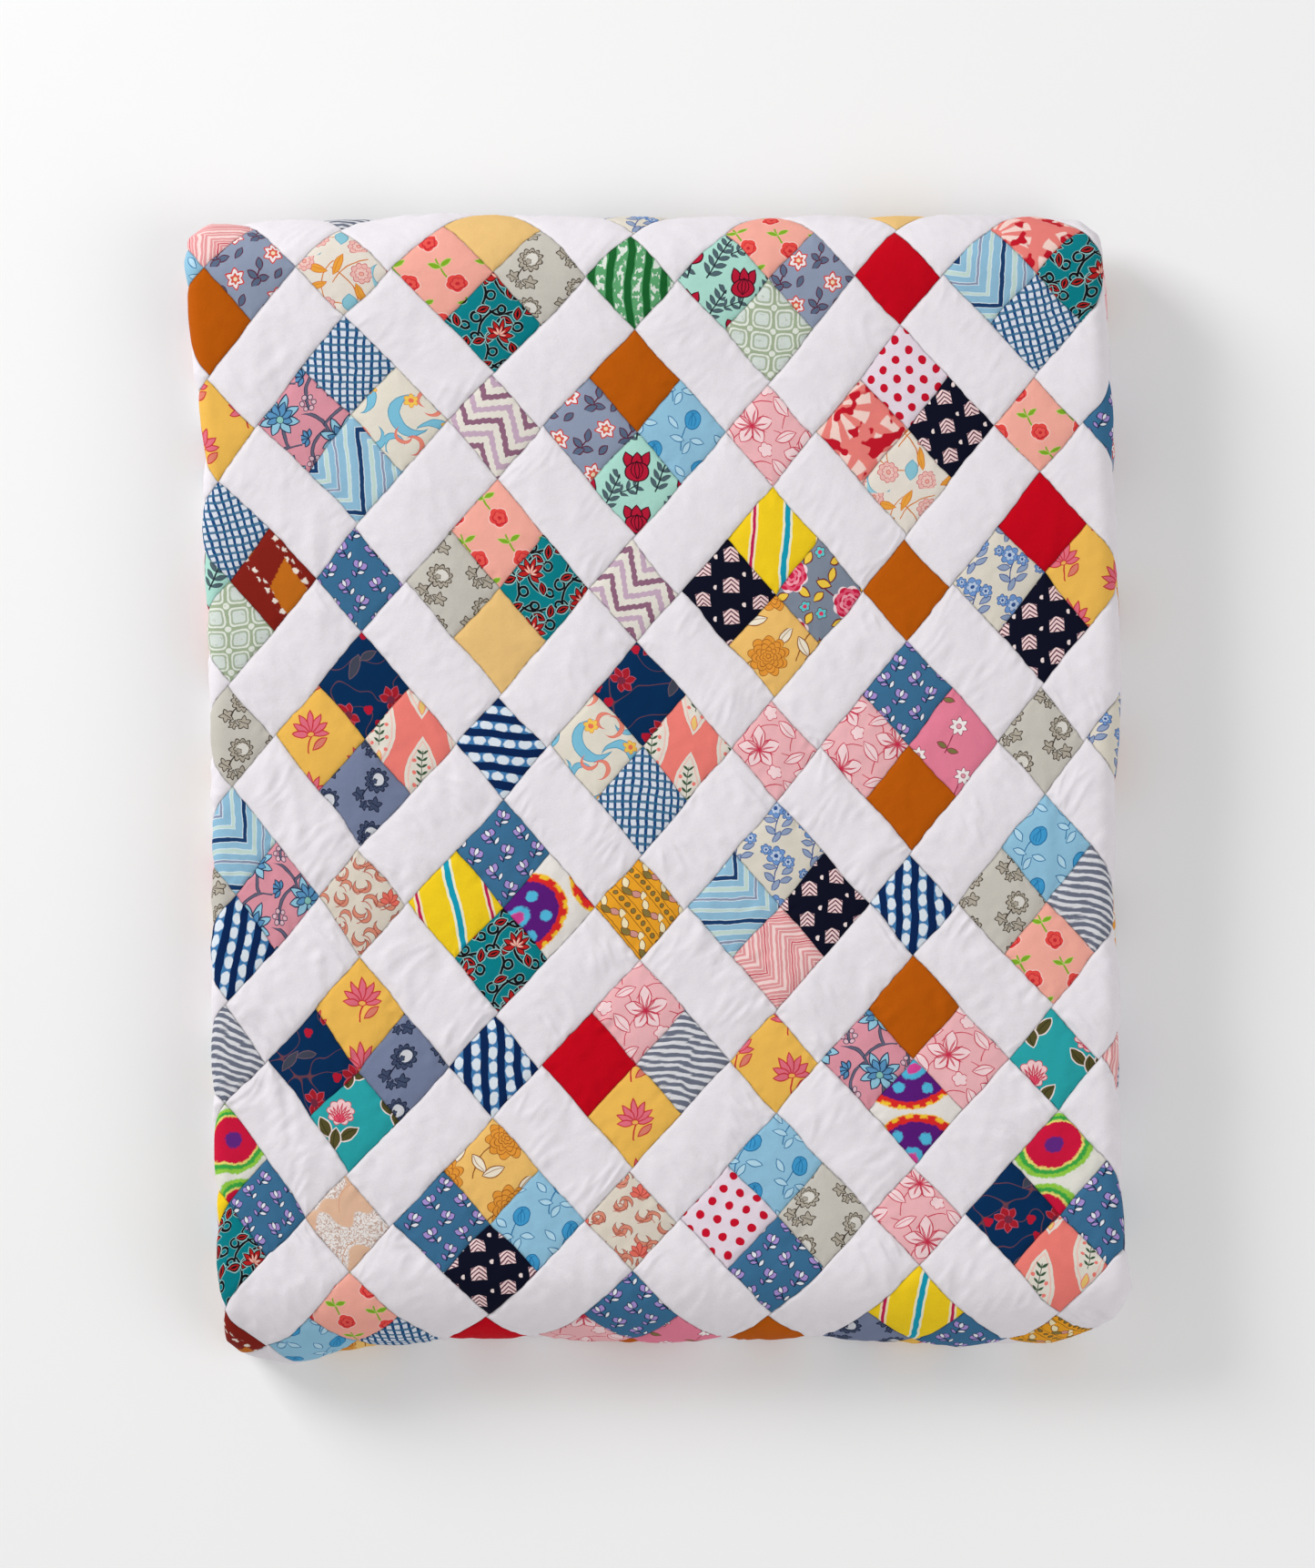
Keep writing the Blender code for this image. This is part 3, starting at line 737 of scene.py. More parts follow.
# %% [markdown]
# ## The scrap bag
#
# Each function below stamps one of the prints in the pile. The flowers, leaves, dots, checks and
# stripes are the common ones of block-printed cotton, drawn from simple shapes.

# %% Checks, dots, stripes and zigzags
def blue_check(ink):
    ink.cloth = ink.shaken(ink.cloth, 0.9, 16)
    ink.once().paint(ink.stripes(6.3, 2.4), (28, 74, 126))
    ink.paint(ink.stripes(6.3, 2.2, 90), (48, 106, 144), cover=0.9)


def red_dot(ink):
    ink.repeat(11.2, 15.6, turn=8).paint(ink.disc(0, 0, 3.2, 3.6), (205, 15, 45))


def green_stripe(ink):
    patchy = ink.noise(4.5, detail=2.0, stretch=(1.0, 0.7))
    ink.paint((patchy - 0.53) * 9, (228, 236, 226))
    line = ink.stripes(14.5, 5.6, wave=1.3, length=64)
    ink.paint(line + 1.0, (84, 160, 104)).paint(line, (24, 98, 44))


def yellow_stripe(ink):
    for at, wide, edge, colour, border in (
        (0, 4.4, 1.9, (20, 160, 188), (244, 240, 214)),
        (27, 2.4, 1.7, (198, 32, 84), (250, 232, 190)),
    ):
        line = ink.stripes(54, wide, turn=6, at=at, wave=0.6, length=70)
        ink.paint(line + edge, border).paint(line, colour)


def chevron(ink, size, turn):
    """Distance over the cloth, whose lines of equal distance zigzag in square corners."""
    x, y = ink.split(ink.view(0, 0, turn))
    return (y + abs((x / size).fraction() - 0.5) * size) * 0.707


def lines_of(ink, distance, step, at, wide):
    """Lines step apart where a distance passes at, at plus step and so on."""
    return wide / 2 - abs(((distance - at) / step + 0.5).fraction() - 0.5) * step


def blue_chevron(ink):
    distance = chevron(ink, 92, 45)
    navy, grey, pale = (26, 62, 108), (142, 152, 178), (198, 222, 214)
    for at, wide, colour in ((3, 2.0, pale), (12, 1.8, grey), (20, 3.0, pale), (29, 3.3, navy)):
        line = lines_of(ink, distance, 36, at, wide)
        ink.paint(line + 0.6, (222, 236, 244)).paint(line, colour)


def pink_chevron(ink):
    distance = chevron(ink, 64, 45)
    ink.paint(lines_of(ink, distance, 7.2, 0, 2.4), (251, 220, 216))
    ink.paint(lines_of(ink, distance, 21.6, 0, 1.1), (210, 66, 88))
    ink.paint(lines_of(ink, distance, 7.2, 3.6, 0.7), (250, 226, 222))


def lilac_zigzag(ink):
    x, y = ink.split(ink.view(0, 0, -38))
    slope = abs((x / 38).fraction() - 0.5) * 38 * 0.95
    scallop = abs(ink.calc("SINE", x * (math.pi / 3.7))) * 1.1
    for at, colour in ((0, (148, 104, 128)), (13, (202, 174, 194))):
        ink.paint(lines_of(ink, y + slope, 26, at, 4.6) + scallop, colour)


def indigo_dash(ink):
    ink.repeat(13.4, 12.0, drop=0.35)
    ink.paint(ink.disc(0, 0, 3.7, 5.0) + ink.noise(4) * 1.6 - 0.8, (226, 235, 244), 0.8)
    ink.once().paint(ink.stripes(13.4, 6.3, at=6.7, wave=0.7, length=46), (6, 38, 86))


def grey_bark(ink):
    streaks = ink.noise(3.6, detail=2.0, stretch=(0.16, 1.0))
    line = ink.stripes(6.2, 3.4, 78, wave=1.2, length=44)
    ink.paint(line + (streaks - 0.5) * 5, (110, 115, 132), 0.9)


def sage_trellis(ink):
    pale = (232, 236, 226)
    ink.repeat(19, 19, drop=0)
    x, y = ink.split(ink.here)
    square = 8.2 - ink.calc("POWER", x * x * x * x + y * y * y * y, 0.25)
    ink.paint(square, pale).paint(square - 1.5, (172, 186, 162)).paint(square - 3.0, (216, 224, 218))
    for corner in (-9.5, 9.5):
        ink.paint(ink.disc(corner, corner, 2.6), pale).paint(ink.disc(corner, -corner, 2.6), pale)
    ink.paint((ink.noise(3.0) - 0.66) * 8, (165, 180, 150), cover=0.5)


def navy_block(ink):
    ink.repeat(21, 23)
    x, y = ink.split(ink.view(0, 0, 4))
    block = (5.6 - abs(x)).cap(5.8 - y - abs(x) * 0.4).cap(y + 5.4)
    ink.paint(block, (246, 218, 216))
    ink.paint(block.cap(lines_of(ink, y + abs(x) * 0.9, 3.4, 0.6, 1.3)), (104, 40, 70))
    ink.paint(ink.disc(9.6, 8.8, 1.7), (244, 226, 222))


# %% Ikats and loose brushwork
def coral_batik(ink):
    ink.repeat(64, 70)
    x, y = ink.split(ink.here)
    far = ink.from_middle()
    rays = ink.calc("SINE", ink.calc("ARCTAN2", y, x) * 11) * 2.2 + 0.5
    ink.paint(rays.cap(31 - far).cap(far - 7), (251, 216, 206), 0.9)
    ink.paint((ink.noise(15, detail=1.5) - 0.56) * 30, (200, 22, 42), 0.8)


def maroon_ikat(ink):
    ink.cloth = ink.shaken(ink.cloth, 1.6, 2.2)
    ink.here = ink.cloth
    wedge = ink.stripes(58, 26, 38).cap(ink.stripes(70, 44, -30))
    ink.paint(wedge, (198, 110, 26), 1.2)
    edge = 2.4 - abs(ink.stripes(58, 30, 38))
    ink.repeat(8.5, 8.5, drop=0).paint(edge.cap(ink.disc(0, 0, 3.0, 2.4)), (240, 226, 214), 0.8)


def ringed(ink, size, bands):
    """Fuzzy rings round the middle of a repeat, each from its radius inwards."""
    ink.cloth = ink.shaken(ink.cloth, 1.5, 2.4)
    ink.repeat(size, size * 0.9)
    far = ink.from_middle(0, 0, 30, 1.0, 0.8)
    for radius, colour in bands:
        ink.paint(radius - far, colour, 1.6)
    return far


def bright_ikat(ink):
    red, blue = (226, 42, 42), (80, 184, 220)
    bands = ((42, (250, 200, 50)), (38, red), (34, (92, 26, 122)), (11, blue), (6, (214, 70, 150)))
    far = ringed(ink, 82, bands)
    x, y = ink.split(ink.here)
    bars = ink.calc("SINE", ink.calc("ARCTAN2", y, x) * 18) * 2
    ink.paint(bars.cap(41 - far).cap(far - 34), red, 1.4)
    for turn in range(0, 360, 60):
        at = math.radians(turn)
        ink.paint(ink.disc(23 * math.cos(at), 19 * math.sin(at), 4.6), (84, 186, 222), 1.4)


def lime_ikat(ink):
    lime, green, straw = (150, 208, 70), (62, 170, 72), (240, 226, 120)
    ringed(ink, 66, ((33, lime), (29, green), (25, straw), (23, (210, 22, 62)), (8, (100, 40, 130))))


def lace(ink):
    white = (ink.noise(36, detail=1.0) - 0.46) * 40
    ink.paint(white, (240, 234, 230), 0.8)
    curls = 0.045 - abs(ink.noise(3.2) - 0.5)
    ink.paint((curls * 16).cap(white), (186, 138, 114), 0.7, 0.75)
    ink.repeat(44, 50).paint(ink.stroke(0, 0, 16, 0.6, 60, 7), (214, 150, 112))


# %% Flowers of one kind in rows
def grey_flower(ink):
    slate, wine, red = (92, 108, 134), (96, 34, 56), (216, 58, 50)
    ink.repeat(30, 35)
    ink.paint(ink.stroke(-6, -9, 8, 1.1, 64), wine)
    places = (-10, -9, 140), (-2.5, -12, 10), (-4.5, -1.5, 100), (-8, -15, 215), (9, -9, 60)
    ink.leaves(places, 5.2, 2.9, slate, wine, 0.7)
    ink.stamp(ink.petals(6, 7, 8.4, 6, 0.36, sharp=True), (243, 238, 238), red, 1.2)
    ink.paint(ink.petals(6, 7, 4.4, 6, 0.4, sharp=True), (226, 92, 76))
    ink.paint(ink.disc(6, 7, 1.6), (246, 226, 190))


def poppy(ink):
    ink.repeat(33, 32, drop=0, brick=0.5)
    leaf, red = (130, 178, 40), (206, 44, 54)
    ink.paint(ink.stroke(-5.5, 6, 8.5, 1.4, 118, 0.8), leaf)
    ink.leaves(((-11, 8.5, 165), (-2.5, 10.5, 30)), 5.2, 2.1, leaf, (196, 216, 120), 0.4)
    ink.stamp(ink.petals(3, -5.5, 8.2, 5, 0.14, 20), (236, 76, 70), (251, 206, 196), 0.8)
    ink.paint(ink.petals(3.5, -6.4, 5.6, 5, 0.2), red).paint(ink.petals(3.5, -6, 4.6, 5, 0.25), (238, 88, 80))
    ink.paint(ink.disc(3.5, -6, 1.5), red)


def buti(ink, fill, line, heart):
    """A scalloped flower on a bent stem with lobed leaves."""
    ink.repeat(36, 39)
    ink.paint(ink.stroke(-3, -7, 9, 1.0, 70, 2.5), line)
    for x, y, turn, a in ((-9, -7, 150, 5.8), (4, -12, -20, 6.2), (-4, -14, 250, 4.4)):
        ink.stamp(ink.petals(x, y, a, 5, 0.46, turn, sharp=True), fill, line, 0.95)
        ink.paint(ink.stroke(x, y, a * 0.6, 0.6, turn), line)
    ink.stamp(ink.petals(3, 5.5, 9.6, 11, 0.24), fill, line, 1.0)
    ink.stamp(ink.petals(3.4, 6, 6.4, 11, 0.2), fill, line, 0.8).paint(ink.disc(4.2, 6.2, 4.4), heart)
    ink.stamp(ink.petals(1.6, 4.6, 2.4, 5, 0.3), fill, line, 0.5)


def beige_buti(ink):
    buti(ink, (180, 172, 157), (66, 56, 48), (224, 220, 212))


def slate_buti(ink):
    buti(ink, (66, 78, 106), (30, 36, 60), (214, 216, 222))


def mint_tulip(ink):
    crimson, dark, leaf = (190, 26, 56), (66, 14, 30), (40, 52, 60)
    ink.repeat(42, 42)
    ink.sprig(13, 0, 19, 66, 6, (84, 104, 112), leaf, leaf=(5.0, 1.9), stem=1.2)
    ink.sprig(-16, -16, 9, 30, 3, (84, 104, 112), leaf, leaf=(4.2, 1.6), stem=1.0)
    ink.paint(ink.stroke(-8, -12, 6, 1.3, 80), leaf)
    ink.leaves(((-14, 6, 114), (-2.6, 6, 66), (-8.4, 6, 90)), 8.4, 4.6, crimson, dark, 0.9)
    ink.stamp(ink.disc(-8.4, -1.6, 9.6, 7.8), crimson, dark, 0.9)
    for bend in (-4.5, -1.6, 1.6, 4.5):
        ink.paint(ink.stroke(-8.4, 0, 7, 0.8, 90, bend), dark)


def slate_tulip(ink):
    lilac, white, dark = (172, 148, 214), (238, 240, 248), (24, 30, 62)
    for x, y, turn in ((0, 0, 118), (12.5, 14, 64)):
        ink.once().repeat(25, 28, drop=0, x=x, y=y)
        heading = math.radians(turn)
        away_x, away_y = math.cos(heading), math.sin(heading)
        ink.paint(ink.stroke(-5 * away_x, -5 * away_y, 3.6, 1.0, turn), dark)
        ink.stamp(ink.leaf(-5 * away_x + 3.0, -5 * away_y, 3.6, 1.9, turn - 60), white, dark, 0.55)
        ink.stamp(ink.leaf(-5 * away_x - 3.0, -5 * away_y, 3.4, 1.7, turn + 60), lilac, dark, 0.55)
        ink.fan(-1.2 * away_x, -1.2 * away_y, 5.2, 3.4, 2, 84, turn, lilac, dark, 0.65)
        ink.stamp(ink.leaf(2.6 * away_x, 2.6 * away_y, 3.6, 2.1, turn), white, dark, 0.6)


def yellow_lotus(ink):
    pink, red = (230, 112, 130), (200, 44, 54)
    ink.repeat(35, 39)
    ink.paint(ink.stroke(0, -11, 6, 1.0, 80, 1), red)
    ink.stamp(ink.leaf(6, -11, 6, 2.6, 40), (226, 130, 110), red, 0.6)
    ink.fan(0, -5, 8.2, 2.5, 7, 176, 92, pink, red, 0.6)
    ink.stamp(ink.disc(0, -5, 2.6, 1.8), (244, 180, 90), red, 0.5)


def sky_bud(ink):
    deep, blue, pale = (32, 108, 160), (64, 156, 208), (182, 220, 238)
    ink.repeat(33, 37)
    ink.paint(ink.stroke(-2, -3, 12, 0.8, 62, 2.5), deep)
    ink.leaves(((-9, -4, 160), (-3, -12, 230), (6, -8, -20), (-10, 8, 120)), 5.8, 2.7, pale, deep)
    ink.stamp(ink.disc(5, 8, 6.4, 7.4, -25), blue, deep, 0.65)
    ink.stems(((5, 8.6, 5.4, 50, 2), (5, 8.6, 5.4, 74, 0.5), (5, 8.6, 5.4, 96, -2)), 0.5, deep)


def blue_sprig(ink):
    blue, deep, leaf = (116, 156, 212), (52, 84, 146), (150, 166, 196)
    ink.repeat(30, 38)
    ink.paint(ink.stroke(-1, -6, 10, 0.9, 76, 1.6), deep)
    places = (-7, -9, 140), (5.5, -11, 20), (-7, -1, 170), (7, -4, 30), (-2, -15, 240)
    ink.leaves(places, 5.6, 2.6, leaf, deep)
    for x, y, size in ((-2, 8, 8.0), (8, 3, 5.4), (-10, 13, 4.6)):
        ink.stamp(ink.petals(x, y, size, 6, 0.28), blue, deep, 0.6)
        ink.stamp(ink.petals(x, y, size * 0.6, 6, 0.3, 30), (190, 208, 232), deep, 0.45)
        ink.paint(ink.disc(x, y, size * 0.2), deep)


def pink_star(ink):
    wine = (150, 40, 72)
    ink.repeat(32, 36)
    ink.paint(ink.stroke(-4, -6, 7, 0.8, 60), wine)
    ink.leaves(((-9, -6, 150), (-2, -11, -20)), 4.6, 2.3, (128, 120, 72), wine, 0.5)
    ink.stamp(ink.petals(4, 6, 7.2, 7, 0.4, sharp=True), (249, 242, 240), wine, 0.7)
    ink.stamp(ink.disc(4, 6, 1.9), (236, 160, 176), wine, 0.45)


def teal_carnation(ink):
    halo, olive, vein, rose = (244, 226, 222), (84, 78, 40), (52, 54, 28), (202, 44, 74)
    ink.repeat(43, 49)
    for x, y, turn in ((-9, -8, 128), (9, -9, 46), (0, -15, 95)):
        ink.stamp(ink.leaf(x, y, 9.4, 5.0, turn), olive, halo, 0.8)
        ink.paint(ink.stroke(x, y, 7, 0.6, turn, 1), vein)
    ink.stamp(ink.petals(0, 6, 10.6, 9, 0.2), (246, 204, 206), rose, 0.6)
    ink.fan(0, -1, 6.4, 0.7, 9, 120, 90, None, rose, 0.6)
    ink.fan(0, -2, 4.2, 2.0, 4, 90, 90, (228, 84, 108), rose, 0.5)


# %% Big, mixed flowers
def cream_floral(ink):
    orange, amber, rose = (240, 166, 66), (214, 124, 44), (206, 92, 98)
    ink.repeat(54, 56)
    ink.stamp(ink.hook(-20, -22, 12, 40, 0.5), (156, 208, 222), (96, 164, 190), 0.6)
    stems = (-4, 8, 16, 70, 6), (6, 4, 16, 118, -5), (12, 14, 16, 30, 4), (-8, -4, 16, 150, 5)
    ink.stems(stems, 0.9, amber)
    places = (-13, 18, -18), (-15, 4, 18), (4, 20, 60), (16, -4, 100)
    ink.veined(places, 9.4, 3.2, orange, amber, 0.5, vein=(7, 0.4, 0.6))
    ink.stamp(ink.leaf(8, -12, 8.5, 5.4, 84), (142, 200, 216), (96, 164, 190), 0.6)
    for x, y in ((-10, -13), (20, 12), (20, -22), (-22, 25)):
        ink.stamp(ink.petals(x, y, 8.2, 9, 0.18), (240, 188, 180), rose, 0.6)
        ink.stamp(ink.petals(x, y, 5.2, 9, 0.24, 20), (240, 200, 190), rose, 0.5)
        ink.stamp(ink.disc(x, y, 1.8), (240, 176, 160), rose, 0.5)


def teal_floral(ink):
    black, halo, red = (12, 14, 20), (166, 206, 204), (190, 34, 34)
    ink.repeat(43, 47)
    vines = (
        (-6, 4, 18, 60, 7), (9, -9, 16, 128, 6), (12, 10, 13, 20, 5),
        (-12, -12, 12, 100, -4), (0, 20, 14, 150, 5),
    )
    curls = (-16, 12, 3.8), (17, 3, 3.6), (-4, -17, 3.6), (5, 18, 3.2), (-18, -4, 3.0), (18, -18, 3.2)
    places = (-6, -4, 70), (12, -15, 100), (-15, -8, 200), (9, 9, 330), (-10, 18, 20), (18, 14, 80)
    for colour, wide in ((halo, 2.8), (black, 2.1)):
        ink.stems(vines, wide, colour)
        for x, y, radius in curls:
            ink.paint(wide / 2 - abs(ink.disc(x, y, radius)), colour)
    for x, y, turn in places:
        ink.paint(ink.leaf(x, y, 6.6, 4.0, turn), halo)
        ink.stamp(ink.leaf(x, y, 5.8, 3.2, turn), red, black, 0.9)
        ink.paint(ink.leaf(x, y, 3.6, 0.9, turn), black)
    ink.fan(2, -3, 7.6, 3.2, 7, 230, 70, halo)
    ink.fan(2, -3, 7.2, 2.6, 7, 230, 70, red, black, 0.7)
    ink.fan(2, -3, 4.2, 1.0, 5, 150, 70, (246, 196, 178), red, 0.2)


def pink_line(ink):
    crimson, pale = (206, 48, 78), (252, 220, 222)
    ink.repeat(39, 43)
    ink.stems(((-4, -14, 15, 64, 6), (-12, 10, 12, 120, -6), (10, 14, 12, 20, 5)), 0.7, crimson)
    for x, y, a, b, turn in ((-13, -6, 9.0, 4.4, 130), (-9, 16, 8.4, 3.8, 20)):
        ink.stamp(ink.leaf(x, y, a, b, turn), pale, crimson, 0.6)
        ink.paint(ink.stroke(x, y, a - 2, 0.45, turn, 0.8), crimson)
    ink.fan(5, 1, 9.4, 5.0, 5, 288, 90, pale, crimson, 0.65)
    ink.fan(5, 1, 5.6, 0.4, 11, 320, 76, None, crimson, 0.5)
    ink.stamp(ink.petals(15, -15, 5.6, 5, 0.25), pale, crimson, 0.6)


def grey_rose(ink):
    wine, gold, rose = (112, 36, 54), (246, 206, 72), (206, 28, 70)
    ink.repeat(41, 43)
    ink.paint(ink.stroke(-8, 8, 12, 1.0, 140, 3), wine)
    for x, y, turn, a in (
        (-13, 11, 160, 6.4), (-6, 17, 70, 6.4), (-17, 2, 220, 5.6),
        (13, -15, -40, 6.4), (17, 8, 60, 5.4), (-3, -17, 200, 5.4),
    ):
        ink.stamp(ink.leaf(x, y, a, 3.4, turn), gold, wine, 0.8)
    for x, y in ((-15, -10), (14, 17)):
        ink.stamp(ink.petals(x, y, 4.6, 5, 0.3), (92, 206, 210), wine, 0.6)
        ink.paint(ink.disc(x, y, 1.6), (226, 60, 100))
    ink.paint(ink.petals(5, -3, 12.4, 8, 0.16), (246, 222, 226))
    for size, colour in (
        (11.2, rose), (10.2, (232, 90, 120)), (7.8, rose), (7.0, (247, 160, 176)),
        (5.0, rose), (4.2, (240, 120, 146)), (2.2, rose),
    ):
        ink.paint(ink.petals(5, -3, size, 6, 0.2, size * 23), colour)


def ochre_floral(ink):
    orange, brown, white = (236, 156, 58), (146, 82, 34), (247, 236, 214)
    ink.repeat(42, 44)
    ink.paint(ink.stroke(-12, -12, 14, 0.8, 60, 4), brown)
    places = (-15, -12, 120), (-6, -18, 20), (14, 17, 50)
    ink.veined(places, 8.0, 3.6, white, brown, 0.6, vein=(6.2, 0.4, 0.8))
    for size, lobes in ((14.2, 9), (11.6, 8), (9.0, 9), (6.4, 7), (4.2, 8), (2.0, 5)):
        ink.stamp(ink.petals(4, 3, size, lobes, 0.24, size * 11), orange, brown, 0.5)


def pink_lotus(ink):
    blue, pale, line, twig = (92, 150, 194), (152, 204, 226), (36, 52, 84), (104, 104, 124)
    ink.repeat(42, 44)
    for x, y, turn, bend in ((-8, -6, 70, 6), (-12, 14, 140, -5), (10, 16, 20, 5), (14, -16, 100, 5)):
        ink.paint(ink.stroke(x, y, 15, 2.6, turn, bend), line)
        ink.paint(ink.stroke(x, y, 14.6, 1.6, turn, bend), twig)
    for n in range(6):
        at = math.radians(60 * n)
        ink.stamp(ink.disc(-14 + 4.2 * math.cos(at), -15 + 4.2 * math.sin(at), 2.0), (230, 190, 200), line)
    ink.fan(-15, 3, 5.0, 2.0, 5, 150, 160, blue, line, 0.7)
    ink.fan(7, -1, 9.2, 3.5, 8, 300, 90, pale, line, 0.75)
    ink.fan(7, -1, 6.4, 2.8, 6, 220, 90, blue, line, 0.65)
    ink.stamp(ink.disc(7, -2, 2.8), (140, 200, 190), line, 0.5)


def cream_scroll(ink):
    sky, teal, coral = (128, 196, 222), (72, 150, 184), (241, 142, 122)
    ink.repeat(58, 60)
    for x, y, radius, turn in ((-8, 4, 17, 20), (10, -14, 15, 215), (20, 14, 10, 120), (-22, -20, 9, 300)):
        ink.stamp(ink.hook(x, y, radius, turn, 0.42), sky, teal, 0.6)
    for x, y, radius, turn in ((9, 12, 9, 160), (3, 18, 7, 320), (-14, -12, 7, 60), (-6, -20, 8, 190)):
        ink.stamp(ink.hook(x, y, radius, turn, 0.3), coral, (226, 104, 92), 0.4)
    for x, y in ((-8, 16), (20, -6)):
        ink.stamp(ink.petals(x, y, 6.0, 6, 0.34), (250, 206, 90), (232, 140, 70), 0.6)
        ink.paint(ink.disc(x, y, 2.0), (240, 120, 90))


def navy_floral(ink):
    wine, red = (122, 44, 66), (172, 30, 44)
    branch = abs(ink.noise(26, detail=0.2) - 0.5)
    ink.paint((0.006 - branch) * 40, (112, 66, 76))
    ink.repeat(54, 58)
    for x, y, a, b, turn in ((-8, 16, 9, 3.2, 60), (2, 22, 7, 2.6, 20)):
        ink.stamp(ink.leaf(x, y, a, b, turn), (66, 70, 86), (118, 92, 102), 0.4)
    for x, y, turn in ((12, -8, 30), (-18, -14, 200)):
        ink.fan(x, y, 5.4, 2.7, 6, 250, turn, red, (206, 96, 116), 0.35)
        ink.paint(ink.disc(x, y, 2.6), wine)
    for x, y in ((2, -22), (24, 12), (-4, -12)):
        ink.paint(ink.petals(x, y, 3.3, 3, 0.3, 90), (190, 26, 52))


def coral_ogee(ink):
    coral, green, gold = (245, 130, 120), (56, 88, 62), (246, 206, 120)
    ink.repeat(34, 86)
    x, y = ink.split(ink.here)
    eye = 15 - abs(x) - (y * y) / 96
    ink.paint(0 - eye + 1.5, coral)
    ink.paint(0.6 - abs(eye - 4.4), (248, 200, 190))
    ink.sprig(0, 4, 20, 90, 7, green, leaf=(3.0, 1.0), stem=0.7)
    for n in range(8):
        ink.paint(ink.disc(6.0 if n % 2 else -6.0, 16 - 5 * n, 1.6), coral)
    ink.stamp(ink.leaf(0, -26, 7, 3.0, 90), gold, coral, 0.6)


def rust_vine(ink):
    clay, dark = (196, 108, 88), (140, 58, 50)
    for size, turn, x, y in ((17, 62, 0, 0), (19, 150, 6, 8), (21, 255, 3, 11)):
        ink.once().repeat(size, size * 1.15, x=x, y=y)
        ink.stamp(ink.hook(0, 0, 5.6, turn, 0.5), (222, 142, 118), dark, 0.45)
        ink.paint(ink.stroke(-3, -3, 4.6, 0.8, turn + 70, 1.8), clay)
    ink.once().repeat(46, 50)
    ink.fan(0, -3, 5.6, 2.5, 5, 150, 90, (238, 116, 100), (172, 58, 54), 0.5)


def mustard_leaf(ink):
    brown, olive, cream, rose = (120, 70, 26), (138, 120, 64), (247, 232, 190), (214, 150, 140)
    ink.repeat(21, 6.6, drop=0, turn=40).stamp(ink.disc(-6, 0, 2.2), olive, brown, 0.6)
    ink.paint(0.25 - abs(abs(ink.split(ink.here)[0] + 6) - 3.9), brown)
    ink.repeat(21, 24, drop=0, turn=40)
    leaves = (4.4, 7, 60, cream), (4.4, -5, 120, rose), (1.0, 1, 100, olive), (7.6, -11, 70, cream)
    for x, y, turn, colour in leaves:
        ink.stamp(ink.leaf(x, y, 5.4, 2.9, turn), colour, brown, 0.5)


# %% Every cotton with its ground colour
COTTONS = {
    "apricot": ((240, 198, 128), None),
    "beige_buti": ((205, 200, 190), beige_buti, 1.05),
    "blue_check": ((222, 228, 238), blue_check),
    "blue_chevron": ((147, 192, 218), blue_chevron),
    "blue_sprig": ((227, 220, 206), blue_sprig, 1.05),
    "bright_ikat": ((238, 232, 226), bright_ikat),
    "coral_batik": ((240, 132, 124), coral_batik),
    "coral_ogee": ((235, 228, 215), coral_ogee),
    "cream_floral": ((235, 226, 214), cream_floral, 1.05),
    "cream_scroll": ((233, 226, 211), cream_scroll),
    "green_stripe": ((96, 168, 114), green_stripe),
    "grey_bark": ((226, 226, 230), grey_bark),
    "grey_flower": ((146, 157, 180), grey_flower, 1.08),
    "grey_rose": ((130, 140, 156), grey_rose, 1.15),
    "indigo_dash": ((66, 126, 180), indigo_dash),
    "lace": ((230, 188, 158), lace),
    "lilac_zigzag": ((236, 230, 220), lilac_zigzag),
    "lime_ikat": ((236, 234, 224), lime_ikat),
    "maroon_ikat": ((134, 32, 22), maroon_ikat),
    "mint_tulip": ((176, 225, 211), mint_tulip, 1.05),
    "mustard_leaf": ((240, 166, 42), mustard_leaf),
    "navy_block": ((10, 12, 34), navy_block, 1.08),
    "navy_floral": ((2, 46, 88), navy_floral, 1.25),
    "ochre_floral": ((245, 196, 112), ochre_floral, 1.25),
    "pink_chevron": ((232, 156, 158), pink_chevron),
    "pink_line": ((245, 186, 190), pink_line, 1.15),
    "pink_lotus": ((226, 152, 166), pink_lotus, 1.15),
    "pink_star": ((235, 131, 156), pink_star, 1.1),
    "poppy": ((250, 176, 160), poppy, 1.05),
    "red": ((202, 0, 26), None),
    "red_dot": ((236, 222, 233), red_dot),
    "rust": ((190, 91, 4), None),
    "rust_vine": ((226, 216, 201), rust_vine),
    "sage_trellis": ((166, 181, 151), sage_trellis),
    "sky_bud": ((148, 197, 223), sky_bud, 1.1),
    "slate_buti": ((121, 131, 160), slate_buti, 1.1),
    "slate_tulip": ((61, 113, 151), slate_tulip),
    "teal_carnation": ((42, 166, 171), teal_carnation, 1.1),
    "teal_floral": ((4, 128, 138), teal_floral),
    "yellow_lotus": ((244, 191, 88), yellow_lotus, 1.25),
    "yellow_stripe": ((250, 212, 34), yellow_stripe),
}
assert set(NAMES) <= set(COTTONS)

# %% [markdown]
# ## From ink to a finished cotton
#
# Washed quilting cotton is matt and a little mottled. Along the stitching line, where two squares
# dive into the seam, shade is painted into the colour: a darker band that stands in for the shadow
# in the seam's valley. Its plain weave is too fine to see from four metres, but it takes the shine
# off, so it is a very fine bump.

# %% Finishing a cotton
THREAD_MM = 0.9
WEAVE_HEIGHT = 0.0002
SEAM_SHADE = 0.0011
WHITE = (240, 235, 240)


